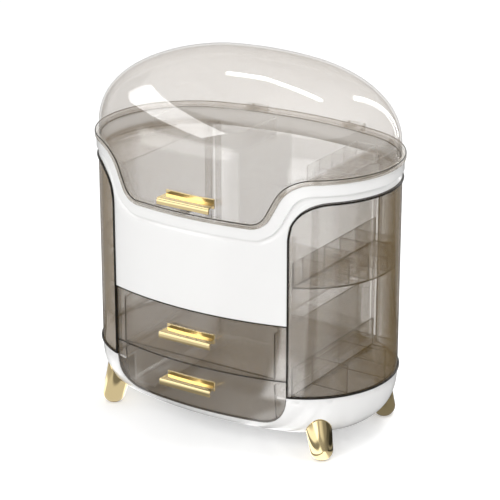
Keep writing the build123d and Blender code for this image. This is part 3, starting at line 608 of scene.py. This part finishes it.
def band_column(low, high, outer, inner):
    """Column of a closed ring that follows the rim line between two moves of it."""
    corners = ((outer, low), (outer, (low + high) / 2), (outer, high), (inner, high), (inner, low))

    def column(turn):
        found = [(inset, 1.0, rim_line(*oval_place(turn, inset), gap)) for inset, gap in corners]
        return found + found[:1]
    return column


band_mesh = bmesh.new()
lay_skin(band_mesh, rim_turns, band_column(-BAND_WIDTH, 0.0, -BAND_PROUD, BAND_DEEP), around=True)
rim_band = make_piece("front_frame_band", band_mesh, 0.0, BAND_EDGE, [white_plastic])


def knuckle_tree():
    """Geometry nodes: one knuckle set out in pairs, and the pairs set out at each side."""
    tree, given, leave = open_tree(
        "hinge_knuckles", Int=("Pair count",), Float=("Pair step", "Side step"), Material=("Finish",))
    shape = given["Geometry"]
    for count, step in ((given["Pair count"], given["Pair step"]), (2, given["Side step"])):
        line = add_node(tree, "GeometryNodeMeshLine", {"Count": count, "Offset": vector_node(tree, step)})
        shape = set_out(tree, line.outputs["Mesh"], shape)
    feed(leave, {"Geometry": finish_all(tree, given, shape)})
    return tree


HINGE_AXIS_Y, HINGE_AXIS_Z, KNUCKLE_R, KNUCKLE_ROOT_Y = 0.1120, 0.2970, 0.0042, 0.1005
LID_KNUCKLE, FRAME_KNUCKLE, HINGE_SIDE, KNUCKLE_GAP = 0.0120, 0.0060, 0.0600, 0.0003


def knuckle_shape(first_x, width, z_near, start, stop):
    """Prism of a knuckle: a tongue from the wall that ends in a round about the pin."""
    outline = [(HINGE_AXIS_Y + KNUCKLE_R * cos(t), HINGE_AXIS_Z + KNUCKLE_R * sin(t))
               for t in span(start, stop, 28)]
    far = HINGE_AXIS_Z + KNUCKLE_R * sin(start if abs(sin(start)) > 0.5 else stop)
    outline += [(KNUCKLE_ROOT_Y, z) for z in ((z_near, far) if start < 0 else (far, z_near))]
    shape = bmesh.new()
    near = [shape.verts.new((first_x, y, z)) for y, z in outline]
    away = [shape.verts.new((first_x + width, y, z)) for y, z in outline]
    join_lines(shape, list(zip(near, away)), around=True)
    shape.faces.new(near)
    shape.faces.new(list(reversed(away)))
    bmesh.ops.recalc_face_normals(shape, faces=shape.faces)
    data = bpy.data.meshes.new("knuckle")
    shape.to_mesh(data)
    shape.free()
    return data


knuckle_nodes = knuckle_tree()
pair_step = LID_KNUCKLE + FRAME_KNUCKLE + 2 * KNUCKLE_GAP
frame_knuckle = knuckle_shape(
    -HINGE_SIDE - (pair_step + FRAME_KNUCKLE) / 2, FRAME_KNUCKLE, RIM, -pi / 2, pi)
frame_knuckles = grow_piece("front_frame_knuckles", frame_knuckle, knuckle_nodes, {
    "Pair count": 2, "Pair step": pair_step, "Side step": 2 * HINGE_SIDE, "Finish": white_plastic})
for piece in (front_frame, rim_band, frame_knuckles):
    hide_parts("front_frame")
    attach(piece, "cabinet")

# Dome lid
# Clear smoky plastic, blown or moulded in one: a dome, a bib that fills the dip, and a flange that sits
# on the rim. It turns up about two hinges at the back.
LID_INSET, SHOULDER, DOME_RISE, DOME_POWER = 0.0010, 0.3088, 0.0851, 2.2
LID_GAP, LID_WALL, FLANGE_PROUD, FLANGE_DEEP, FLANGE_HIGH = 0.0003, 0.0024, 0.0036, 0.0009, 0.0050
LID_BEAD_R, LID_BEAD_IN, FLANGE_EDGE = 0.0006, 0.0007, 0.0008


def lid_column(turn):
    x, y = oval_place(turn, LID_INSET)
    found = [(LID_INSET, 1.0, z) for z in span(rim_line(x, y, LID_GAP), SHOULDER, 8)]
    for step in span(0, pi / 2, 32)[1:]:
        share = max(cos(step), 0.0) ** (2 / DOME_POWER)
        found.append((LID_INSET, share, SHOULDER + DOME_RISE * sin(step) ** (2 / DOME_POWER)))
    return found


dome_mesh = bmesh.new()
lay_skin(dome_mesh, rim_turns, lid_column, around=True)
dome_smoke = clear_material("dome_smoke", (0.31, 0.20, 0.080), 0.175, 0.60, 5.0)
dome = make_piece("dome_lid_skin", dome_mesh, LID_WALL, FINE_EDGE, [dome_smoke, edge_tint_and_shade])
rim_smoke = clear_material("rim_smoke", (0.60, 0.51, 0.38), 0.30, 0.60, 5.0)
flange_mesh = bmesh.new()
lay_skin(flange_mesh, rim_turns, band_column(LID_GAP, LID_GAP + FLANGE_HIGH, -FLANGE_PROUD, FLANGE_DEEP),
         around=True)
flange = make_piece("dome_lid_flange", flange_mesh, 0.0, FLANGE_EDGE, [rim_smoke])
lid_knuckle = knuckle_shape(-HINGE_SIDE - LID_KNUCKLE / 2, LID_KNUCKLE, RIM + LID_GAP, -pi, pi / 2)
lid_knuckles = grow_piece("dome_lid_knuckles", lid_knuckle, knuckle_nodes, {
    "Pair count": 1, "Pair step": 0.0, "Side step": 2 * HINGE_SIDE, "Finish": smoky_plastic})


def bead_tree():
    """Geometry nodes: a round bead swept along the edge line that it is given."""
    tree, given, leave = open_tree("edge_bead", Float=("Radius",), Int=("Sides",), Material=("Finish",))
    line = add_node(tree, "GeometryNodeMeshToCurve", {"Mesh": given["Geometry"]})
    circle = add_node(tree, "GeometryNodeCurvePrimitiveCircle", {
        "Radius": given["Radius"], "Resolution": given["Sides"]})
    sweep = add_node(tree, "GeometryNodeCurveToMesh", {
        "Curve": line.outputs["Curve"], "Profile Curve": circle.outputs["Curve"], "Fill Caps": True})
    smooth = add_node(tree, "GeometryNodeSetShadeSmooth", {"Geometry": sweep.outputs["Mesh"]})
    feed(leave, {"Geometry": finish_all(tree, given, smooth.outputs["Geometry"])})
    return tree


bead_nodes = bead_tree()


def edge_line(points, closed=False):
    """Mesh of one line of edges through the points."""
    source = bpy.data.meshes.new("edge_line")
    starts = range(len(points) - (0 if closed else 1))
    source.from_pydata(points, [(k, (k + 1) % len(points)) for k in starts], [])
    return source


lid_beads = []
bead_places = [oval_place(turn, LID_BEAD_IN - FLANGE_PROUD) for turn in rim_turns]
# The low bead is smoky plastic; the high one takes the near-black edge material, a painted dark line along
# the flange
for bead_name, rise, bead_finish in (("low", LID_BEAD_R, smoky_plastic),
                                     ("high", FLANGE_HIGH - LID_BEAD_R / 2, edge_tint_and_shade)):
    line = [(x, y, rim_line(x, y, LID_GAP + rise)) for x, y in bead_places]
    lid_beads.append(grow_piece(f"dome_lid_bead_{bead_name}", edge_line(line, closed=True), bead_nodes,
                                {"Radius": LID_BEAD_R, "Sides": 8, "Finish": bead_finish}))
for piece in (dome, flange, lid_knuckles, *lid_beads):
    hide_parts("dome_lid")
    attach(piece, "lid")

# Wings
# Curved doors in the same smoky plastic, each one moulding with a return along its front and top, a
# bead round its edge, a hinge barrel, and trays bonded inside.
DOOR_BOTTOM, DOOR_TOP, BARREL_R = 0.0699, 0.2768, 0.0045
DOOR_EDGE = BAY_HALF + DOOR_GAP
HINGE_X = DOOR_EDGE + DOOR_GAP
HINGE_Y = sqrt((END_R - BARREL_R) ** 2 - (HINGE_X - END_X) ** 2)
BEAD_R, BEAD_SLIM, BEAD_PROUD, BEAD_END = 0.00125, 0.85, 0.0020, pi - 0.75
SEAT_GAP, RETURN_DEEP, TRAY_LIP, TRAY_SLANT = 0.0001, 0.0060, 0.0060, 0.0010
TRAY_INNER, TRAY_END_Y = DOOR_EDGE + WALL + SEAT_GAP, HINGE_Y - 2 * BARREL_R
THIN_SIDE, DIVIDER_EDGE_AREA, BARREL_EDGE, WING_TRAY_EDGE = 0.0021, 1.2e-4, 0.0004, 0.0002
door_start = front_turn(DOOR_EDGE)
door_end = pi - asin((HINGE_X - END_X) / END_R)
door_corner_x = DOOR_EDGE + DOOR_CORNER


def door_head(x, y):
    """Upper edge of a wing: level, with a round front corner."""
    if y > 0 or abs(x) >= door_corner_x:
        return DOOR_TOP
    over = DOOR_CORNER - max(abs(x) - DOOR_EDGE, 0.0)
    return DOOR_TOP - DOOR_CORNER + sqrt(max(DOOR_CORNER**2 - over**2, 0.0))


wing_smoke = clear_material("wing_smoke", (0.31, 0.20, 0.065), 0.13, 0.97, 1.6)


def lay_plate(mesh, outline, z_low, z_high):
    """Closed upright prism on an outline that runs anticlockwise seen from above."""
    low = [mesh.verts.new((x, y, z_low)) for x, y in outline]
    high = [mesh.verts.new((x, y, z_high)) for x, y in outline]
    join_lines(mesh, list(zip(low, high)), around=True)
    mesh.faces.new(list(reversed(low)))
    mesh.faces.new(high)


def door_low(turn):
    return [(0.0, 1.0, z) for z in span(DOOR_BOTTOM, DOOR_TOP - DOOR_CORNER, 10)]


def door_high(turn):
    return [(0.0, 1.0, z) for z in span(DOOR_TOP - DOOR_CORNER, door_head(*oval_place(turn)), 5)]


def return_top(turn):
    """Column of the return along a wing's upper edge: a closed square section."""
    corners = [(WALL, 1.0, DOOR_TOP - WALL), (WALL, 1.0, DOOR_TOP), (WALL + RETURN_DEEP, 1.0, DOOR_TOP),
               (WALL + RETURN_DEEP, 1.0, DOOR_TOP - WALL)]
    return corners + corners[:1]


for side, hand in ((-1, "left"), (1, "right")):
    door_turns = turns_between(door_start, door_end,
                               [front_turn(x) for x in span(DOOR_EDGE, door_corner_x, 14)])
    if side < 0:
        door_turns = [-t for t in reversed(door_turns)]
    door_mesh = bmesh.new()
    lay_skin(door_mesh, door_turns, door_low)
    lay_skin(door_mesh, door_turns, door_high)
    door = make_piece(f"{hand}_wing_skin", door_mesh, WALL, FINE_EDGE, [wing_smoke, edge_tint_and_shade])
    inner = [t for t in door_turns if abs(t) < BEAD_END]
    ordered = sorted(inner, key=abs, reverse=True)
    places = [oval_place(turn, BEAD_R - BEAD_PROUD) for turn in ordered]
    line = [(x, y, door_head(*oval_place(turn)) - BEAD_R) for turn, (x, y) in zip(ordered, places)]
    line += [(x, y, DOOR_BOTTOM + BEAD_R) for x, y in reversed(places)]
    # The bead takes the near-black edge material: painted shade for the dark line round the wing's edge
    bead = grow_piece(f"{hand}_wing_bead", edge_line(line), bead_nodes,
                      {"Radius": BEAD_R * BEAD_SLIM, "Sides": 12, "Finish": edge_tint_and_shade})
    return_mesh = bmesh.new()
    edges = (side * DOOR_EDGE, side * (DOOR_EDGE + WALL))
    near = [(x, -oval_depth(x, WALL)) for x in sorted(edges)]
    deep = [(x, -oval_depth(x, WALL + RETURN_DEEP)) for x in sorted(edges, reverse=True)]
    lay_plate(return_mesh, near + deep, DOOR_BOTTOM, DOOR_TOP - DOOR_CORNER)
    top_turns = [t for t in inner if abs(oval_place(t)[0]) >= door_corner_x or oval_place(t)[1] > 0]
    lay_skin(return_mesh, top_turns, return_top)
    front_return = make_piece(f"{hand}_wing_return", return_mesh, 0.0, FINE_EDGE, [smoky_plastic])
    barrel_mesh = bmesh.new()
    bmesh.ops.create_cone(barrel_mesh, cap_ends=True, segments=32, radius1=BARREL_R, radius2=BARREL_R,
                          depth=DOOR_TOP - DOOR_BOTTOM,
                          matrix=Matrix.Translation((side * HINGE_X, HINGE_Y, (DOOR_TOP + DOOR_BOTTOM) / 2)))
    barrel = make_piece(f"{hand}_wing_barrel", barrel_mesh, 0.0, BARREL_EDGE, [smoky_plastic])
    for piece in (door, bead, barrel, front_return):
        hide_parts(f"{hand}_wing_shell")
        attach(piece, f"{hand}_wing")


def divider_tree():
    """Geometry nodes: a plate at each point, as long as the point's own reach."""
    tree, given, leave = open_tree(
        "tray_dividers", Float=("Wall", "Height", "Edge area"), Material=("Finish", "Edge shade and highlight"))
    plate = add_node(tree, "GeometryNodeMeshCube", {
        "Size": vector_node(tree, 1.0, given["Wall"], given["Height"])})
    reach = add_node(tree, "GeometryNodeInputNamedAttribute", {"Name": "reach"}, data_type="FLOAT")
    copies = set_out(tree, given["Geometry"], plate.outputs["Mesh"],
                     Scale=vector_node(tree, reach.outputs["Attribute"], 1.0, 1.0))
    feed(leave, {"Geometry": finish_by_face(tree, given, copies)})
    return tree


divider_nodes = divider_tree()


def wing_tray(hand, side, place_name, level, lip, dividers=()):
    """Tray in a wing: a plate to the skin, a lip on its open side, and dividers between them."""
    arc_r = END_R - WALL - SEAT_GAP
    first = asin((TRAY_INNER - END_X) / arc_r)
    last = pi - asin(sqrt(arc_r**2 - TRAY_END_Y**2) / arc_r)
    outline = [(TRAY_INNER, TRAY_END_Y)]
    outline += [(END_X + arc_r * sin(t), -arc_r * cos(t)) for t in span(first, last, 30)]
    front_y = outline[1][1]
    lip_outline = [(TRAY_INNER, TRAY_END_Y), (TRAY_INNER, front_y),
                   (TRAY_INNER + CELL_WALL, front_y + TRAY_SLANT), (TRAY_INNER + CELL_WALL, TRAY_END_Y)]
    mesh = bmesh.new()
    for points, low, high in ((outline, level, level + TRAY_WALL),
                              (lip_outline, level + TRAY_WALL, level + lip)):
        placed = [(side * x, y) for x, y in points]
        lay_plate(mesh, placed if side > 0 else placed[::-1], low, high)
    # Thin faces, the cut edges, take the near-black edge material: painted dark lines along the lips and
    # plates
    for face in mesh.faces:
        if min(edge.calc_length() for edge in face.edges) < THIN_SIDE:
            face.material_index = 1
    name = f"{hand}_wing_{place_name}"
    pieces = [make_piece(name + "_tray", mesh, 0.0, WING_TRAY_EDGE, [smoky_plastic, edge_tint_and_shade])]
    if dividers:
        source = bpy.data.meshes.new("divider_places")
        starts = TRAY_INNER + CELL_WALL
        ends = [END_X + sqrt(arc_r**2 - (abs(y) + CELL_WALL / 2) ** 2) for y in dividers]
        high = level + (TRAY_WALL + lip) / 2
        source.from_pydata([(side * (starts + end) / 2, y, high) for y, end in zip(dividers, ends)], [], [])
        reach = source.attributes.new("reach", "FLOAT", "POINT")
        for k, end in enumerate(ends):
            reach.data[k].value = end - starts
        pieces.append(grow_piece(name + "_dividers", source, divider_nodes, {
            "Wall": CELL_WALL, "Height": lip - TRAY_WALL, "Edge area": DIVIDER_EDGE_AREA,
            "Finish": smoky_plastic, "Edge shade and highlight": edge_tint_and_shade}))
    for piece in pieces:
        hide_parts(name)
        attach(piece, f"{hand}_wing")


for place_name, rise in (("floor", 0.0), ("low_shelf", 0.0390), ("middle_shelf", 0.0772),
                         ("high_shelf", 0.1159)):
    wing_tray("left", -1, place_name, DOOR_BOTTOM + rise, TRAY_LIP)
wing_tray("right", 1, "floor", DOOR_BOTTOM, 0.0320, (-0.0490, 0.0030, 0.0340))
wing_tray("right", 1, "shelf", DOOR_BOTTOM + 0.1174, 0.0270, (-0.0690, -0.0490, -0.0280, 0.0030, 0.0340))

# Drawers
# Two smoky drawers, each a curved front moulded with the box behind it. The lower one's front carries on
# the round of the bowl.
FRONT_HALF, SPLIT, DRAWER_HALF, DRAWER_BACK = 0.1043, 0.0874, 0.0930, 0.0780
FRONT_EDGE, GAP_SHADE_STRIP, FRONT_LAP = 0.0004, 0.0012, 0.0012
UPPER_LOW, UPPER_HIGH, LOWER_HIGH = 0.0880, 0.1380, 0.0820
UPPER_TOP = PANEL_BOTTOM - MOVE_GAP


def upper_front(turn):
    return [(0.0, 1.0, z) for z in span(SPLIT + MOVE_GAP, UPPER_TOP - GAP_SHADE_STRIP, 6) + [UPPER_TOP]]


def front_place(x, inset):
    return x, -oval_depth(x, inset)


def lower_front(x):
    low = bay_floor(x, -MOVE_GAP)
    return [(bowl_inset_at(z), 1.0, z) for z in span(low, SPLIT - MOVE_GAP, 14)]


def drawer_box(name, profile, inset_of):
    """Open box behind a drawer front, on the outline of its cross-section."""
    mesh = bmesh.new()
    lines = []
    for x, z in profile:
        front = -oval_depth(x, inset_of(z) + FRONT_LAP)
        lines.append([mesh.verts.new((x, y, z)) for y in span(front, DRAWER_BACK, 6)])
    join_lines(mesh, lines, flip=True)
    mesh.faces.new([line[-1] for line in reversed(lines)])
    return make_piece(name, mesh, TRAY_WALL, FINE_EDGE, [smoky_plastic, edge_tint_and_shade])


upper_mesh = bmesh.new()
front_end = front_turn(FRONT_HALF)
lay_skin(upper_mesh, turns_between(-front_end, front_end, step=1.5), upper_front)
# The top strip of the upper drawer's front takes the near-black edge material: painted shadow of the gap
# under the white panel
for face in upper_mesh.faces:
    if face.calc_center_median().z > UPPER_TOP - GAP_SHADE_STRIP:
        face.material_index = 1
upper_piece = make_piece("upper_drawer_front", upper_mesh, WALL, FRONT_EDGE, [smoky_plastic, edge_tint_and_shade])
lower_mesh = bmesh.new()
lower_places = span(-FRONT_HALF, FRONT_HALF, 80)
lay_skin(lower_mesh, lower_places, lower_front, place=front_place)
lower_piece = make_piece("lower_drawer_front", lower_mesh, WALL, FRONT_EDGE, [smoky_plastic, edge_tint_and_shade])
upper_profile = [(-DRAWER_HALF, UPPER_HIGH), (-DRAWER_HALF, UPPER_LOW), (DRAWER_HALF, UPPER_LOW),
                 (DRAWER_HALF, UPPER_HIGH)]
upper_box = drawer_box("upper_drawer_box", upper_profile, lambda z: 0.0)
lower_profile = [(-DRAWER_HALF, LOWER_HIGH)]
lower_profile += [(x, bay_floor(x, -MOVE_GAP)) for x in span(-DRAWER_HALF, DRAWER_HALF, 40)]
lower_profile += [(DRAWER_HALF, LOWER_HIGH)]
lower_box = drawer_box("lower_drawer_box", lower_profile, bowl_inset_at)
for piece, body in ((upper_piece, "upper_drawer"), (upper_box, "upper_drawer"),
                    (lower_piece, "lower_drawer"), (lower_box, "lower_drawer")):
    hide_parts(body)
    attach(piece, body)

# Pulls
# Three alike in bright gold plate: sheet folded to a lip in front, welded to a flange that follows the
# face and takes two screws from inside.
PULL_HALF, PULL_TAPER, PULL_FRONT, PULL_SHEET = 0.0310, 0.0020, 0.1190, 0.0016
PULL_ROOT, PULL_SLOPE, PULL_FOLD_R, PULL_FOLD_IN, PULL_FOLD = 0.0008, 0.0010, 0.0014, 0.0004, radians(76)
LIP_R, LIP_MIDDLE, LIP_FIRST, LIP_LAST = 0.0142, 0.0055, radians(14), radians(-9)
PLATE_OUT, PLATE_DOWN, PLATE_UP = 0.0017, 0.0060, 0.0040

for place_name, level, face_inset, body in (("lid", 0.2669, LID_INSET, "lid"),
                                            ("upper_drawer", 0.1230, 0.0, "upper_drawer"),
                                            ("lower_drawer", 0.0710, 0.0, "lower_drawer")):
    side_view = [(-PULL_FRONT + PULL_FOLD_IN + PULL_FOLD_R * (1 - sin(fold)),
                  level - PULL_SLOPE - PULL_FOLD_R * (1 - cos(fold))) for fold in span(0, PULL_FOLD, 6)]
    side_view += [(-PULL_FRONT + LIP_R * (1 - cos(tilt)), level - LIP_MIDDLE + LIP_R * sin(tilt))
                  for tilt in span(LIP_FIRST, LIP_LAST, 7)[1:]]
    pull_mesh = bmesh.new()
    lines = []
    for share in span(-1, 1, 16):
        narrow = (PULL_HALF - PULL_TAPER) * share
        back = -oval_depth(narrow, face_inset - PULL_ROOT)
        points = [(narrow, back, level)] + [(PULL_HALF * share, y, z) for y, z in side_view]
        lines.append([pull_mesh.verts.new(point) for point in points])
    join_lines(pull_mesh, lines, flip=True)
    bmesh.ops.recalc_face_normals(pull_mesh, faces=pull_mesh.faces)
    pull = make_piece(f"{place_name}_pull_sheet", pull_mesh, PULL_SHEET, FINE_EDGE, [gold_metal])
    plate_mesh = bmesh.new()
    lines = []
    for x in span(-(PULL_HALF - PULL_TAPER), PULL_HALF - PULL_TAPER, 16):
        depth = -oval_depth(x, face_inset - PLATE_OUT)
        lines.append([plate_mesh.verts.new((x, depth, z)) for z in (level - PLATE_DOWN, level + PLATE_UP)])
    join_lines(plate_mesh, lines)
    plate = make_piece(f"{place_name}_pull_flange", plate_mesh, PULL_SHEET, FINE_EDGE, [gold_metal])
    for piece in (pull, plate):
        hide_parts(f"{place_name}_pull")
        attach(piece, body)

# Studio
# A pale floor, soft lamps, and the camera at the photograph's angle.
AZIMUTH, ELEVATION, DISTANCE = radians(33.09), radians(20.19), 2.1520
AIM_HEIGHT, FOCAL_PIXELS, PICTURE_PIXELS, SENSOR = 0.185, 2062.1, 500, 36
SHIFT_ACROSS, SHIFT_UP, FLOOR_HALF, FLOOR_GLOW, SKY_LIGHT = 0.0040, -0.00988, 12, 0.37, 0.70
camera = put_in_scene("camera", bpy.data.cameras.new("camera"))
look = Vector((-sin(AZIMUTH) * cos(ELEVATION), cos(AZIMUTH) * cos(ELEVATION), -sin(ELEVATION)))
camera.location = Vector((0, 0, AIM_HEIGHT)) - look * DISTANCE
camera.rotation_euler = look.to_track_quat("-Z", "Y").to_euler()
camera.data.sensor_width = SENSOR
camera.data.lens = FOCAL_PIXELS * SENSOR / PICTURE_PIXELS
camera.data.shift_x, camera.data.shift_y = SHIFT_ACROSS, SHIFT_UP
scene.camera = camera


def studio_material(name, inputs):
    """Material of the studio, with its shader's inputs fed."""
    paint = bpy.data.materials.new(name)
    paint.use_nodes = True
    shader = paint.node_tree.nodes["Principled BSDF"]
    feed(shader, inputs)
    return paint, paint.node_tree, shader


# The floor is a little lighter to the camera alone, and throws no more light on the object for it
floor_mesh = bmesh.new()
bmesh.ops.create_grid(floor_mesh, x_segments=1, y_segments=1, size=FLOOR_HALF)
floor = make_piece("studio_floor", floor_mesh)
floor_paint, floor_tree, floor_shader = studio_material("studio_floor", {
    "Base Color": (0.80, 0.80, 0.80, 1), "Roughness": 0.6, "Specular IOR Level": 0.1,
    "Emission Color": (1, 1, 1, 1)})
floor_path = add_node(floor_tree, "ShaderNodeLightPath").outputs
feed(floor_shader, {
    "Emission Strength": math_node(floor_tree, "MULTIPLY", floor_path["Is Camera Ray"], FLOOR_GLOW)})
floor.data.materials.append(floor_paint)

# What the gloss shows: a ring round the object that only mirrored rays see. Its tones are set out by
# direction in degrees, zone by zone outwards, and each zone fades into the next between two distances.
RING_FEET = ((-90, 0.80), (-78, 0.90), (-75, 1.90), (-65, 1.90), (-62, 0.80), (-48, 0.80), (-45, 0.25),
             (-36, 0.25), (-33, 0.20), (25, 0.60), (31, 1.50), (39, 1.50), (41, 0.32), (47, 0.28),
             (48, 2.20), (55, 2.20), (56, 0.30), (58, 0.30), (59, 2.00), (64, 2.00), (66, 0.70),
             (72, 0.50), (74, 0.06), (79, 0.06), (81, 0.45), (84, 0.03), (96, 0.03), (105, 0.25))
RING_NEAR = ((-90, 0.60), (-50, 0.55), (-10, 0.25), (12, 0.25), (16, 2.40), (40, 2.40), (43, 0.50),
             (60, 0.40), (85, 0.12), (140, 0.06), (200, 0.15))
RING_FAR = ((-90, 0.30), (-60, 0.35), (-54, 0.85), (-18, 0.85), (-14, 0.22), (12, 0.18), (16, 1.40),
            (40, 1.40), (42, 0.60), (48, 0.60), (51, 1.10), (60, 0.90), (72, 0.35), (88, 0.30),
            (93, 0.05), (106, 0.05), (108, 0.25), (120, 0.20), (125, 0.02), (152, 0.02), (160, 0.22),
            (205, 0.15), (250, 0.30))
RING_OUT = ((-90, 0.35), (-56, 0.40), (-52, 1.70), (-18, 1.70), (-14, 0.22), (12, 0.18), (16, 1.10),
            (40, 1.10), (46, 0.50), (72, 0.35), (88, 0.20), (106, 0.05), (152, 0.05), (160, 0.60),
            (235, 0.60), (250, 0.35))
RING_WALL = ((-90, 0.45), (-60, 0.30), (60, 0.28), (110, 0.35), (150, 0.95), (235, 0.95), (255, 0.6))
RING_TOP, RING_R, RING_FLOOR = 2.5, 2.6, 0.002
RING_SECTION = ((0.02, RING_FLOOR), (0.30, RING_FLOOR), (1.0, RING_FLOOR), (RING_R, RING_FLOOR),
                (RING_R, 0.8), (RING_R, 2.2))
ring_paint, ring_tree, ring_shader = studio_material("studio_ring", {
    "Base Color": (0, 0, 0, 1), "Specular IOR Level": 0.0, "Emission Strength": RING_TOP})
ring_place = add_node(ring_tree, "ShaderNodeTexCoord").outputs["Object"]
ring_turn = add_node(ring_tree, "ShaderNodeTexGradient", {"Vector": ring_place}, gradient_type="RADIAL")
ring_out = add_node(ring_tree, "ShaderNodeVectorMath", {0: ring_place}, operation="LENGTH")
ring_tone = None
for stops, begins, ends in ((RING_FEET, None, None), (RING_NEAR, 0.22, 0.26), (RING_FAR, 0.34, 0.40),
                            (RING_OUT, 1.1, 1.4), (RING_WALL, 2.601, 2.64)):
    ramp = add_node(ring_tree, "ShaderNodeValToRGB", {"Fac": ring_turn.outputs["Fac"]})
    for k, (turn, tone) in enumerate(stops):
        if len(ramp.color_ramp.elements) < k + 1:
            ramp.color_ramp.elements.new(1.0)
        stop = ramp.color_ramp.elements[k]
        stop.position = (turn + 90) / 360
        stop.color = (tone / RING_TOP, tone / RING_TOP, tone / RING_TOP, 1)
    if ring_tone is None:
        ring_tone = ramp.outputs["Color"]
        continue
    beyond = add_node(ring_tree, "ShaderNodeMapRange", {
        "Value": ring_out.outputs["Value"], "From Min": begins, "From Max": ends,
    }, interpolation_type="SMOOTHSTEP")
    blend = add_node(ring_tree, "ShaderNodeMix", {"Factor": beyond.outputs["Result"]}, data_type="RGBA")
    for label, value in (("A", ring_tone), ("B", ramp.outputs["Color"])):
        ring_tree.links.new(value, next(s for s in blend.inputs if s.name == label and s.type == "RGBA"))
    ring_tone = next(s for s in blend.outputs if s.type == "RGBA")
feed(ring_shader, {"Emission Color": ring_tone})
ring_mesh = bmesh.new()
ring_lines = [[ring_mesh.verts.new((r * sin(turn), -r * cos(turn), z)) for r, z in RING_SECTION]
              for turn in span(0, 2 * pi, 96)[:-1]]
join_lines(ring_mesh, ring_lines, around=True)
ring = make_piece("studio_ring", ring_mesh, 0.0, 0.0, [ring_paint])
ring.visible_camera = ring.visible_diffuse = False
ring.visible_shadow = ring.visible_transmission = False

# The background is white to the camera and in gloss, and lights the object less than it shows
world = bpy.data.worlds.new("studio")
scene.world = world
world.use_nodes = True
world_tree = world.node_tree
sky_path = add_node(world_tree, "ShaderNodeLightPath").outputs
seen = math_node(world_tree, "MAXIMUM", sky_path["Is Camera Ray"], sky_path["Is Glossy Ray"])
seen = math_node(world_tree, "MAXIMUM", seen, sky_path["Is Transmission Ray"])
strength = add_node(world_tree, "ShaderNodeMapRange", {"Value": seen, "To Min": SKY_LIGHT, "To Max": 1.0})
feed(world_tree.nodes["Background"], {"Color": (1, 1, 1, 1), "Strength": strength.outputs["Result"]})

# Lamps: some show in the gloss alone, and the others light the object alone
for lamp_name, place, aim, along, width, height, power, mirrored in (
    ("softbox_left", (-1.17, -0.93, 1.04), (0, 0, 0.30), (0.87, -1.57, -0.62), 1.9, 0.5, 9, True),
    ("strip_above", (-0.34, 0.70, 1.88), (0, 0, 0.35), (1, 0, 0), 1.2, 0.10, 4, True),
    ("strip_rear", (0.25, 1.60, 0.75), (0, 0, 0.30), (0, 0, 1), 1.5, 0.12, 4, True),
    ("softbox_front", (0.50, -2.05, 1.6), (0, 0, 0.2), (1, 0.25, 0), 1.6, 1.2, 18, False),
    ("softbox_top", (0.45, 0.20, 2.2), (0, 0, 0.1), (1, 0, 0), 0.9, 0.9, 22, False),
):
    lamp = put_in_scene(lamp_name, bpy.data.lights.new(lamp_name, "AREA"))
    lamp.data.shape = "RECTANGLE"
    lamp.data.size, lamp.data.size_y = width, height
    lamp.data.energy = power
    back = (Vector(place) - Vector(aim)).normalized()
    level = (Vector(along) - back * back.dot(Vector(along))).normalized()
    turned = Matrix((level, back.cross(level), back)).transposed().to_4x4()
    lamp.matrix_world = Matrix.Translation(place) @ turned
    lamp.visible_camera = False
    lamp.visible_glossy = mirrored
    lamp.visible_diffuse = not mirrored
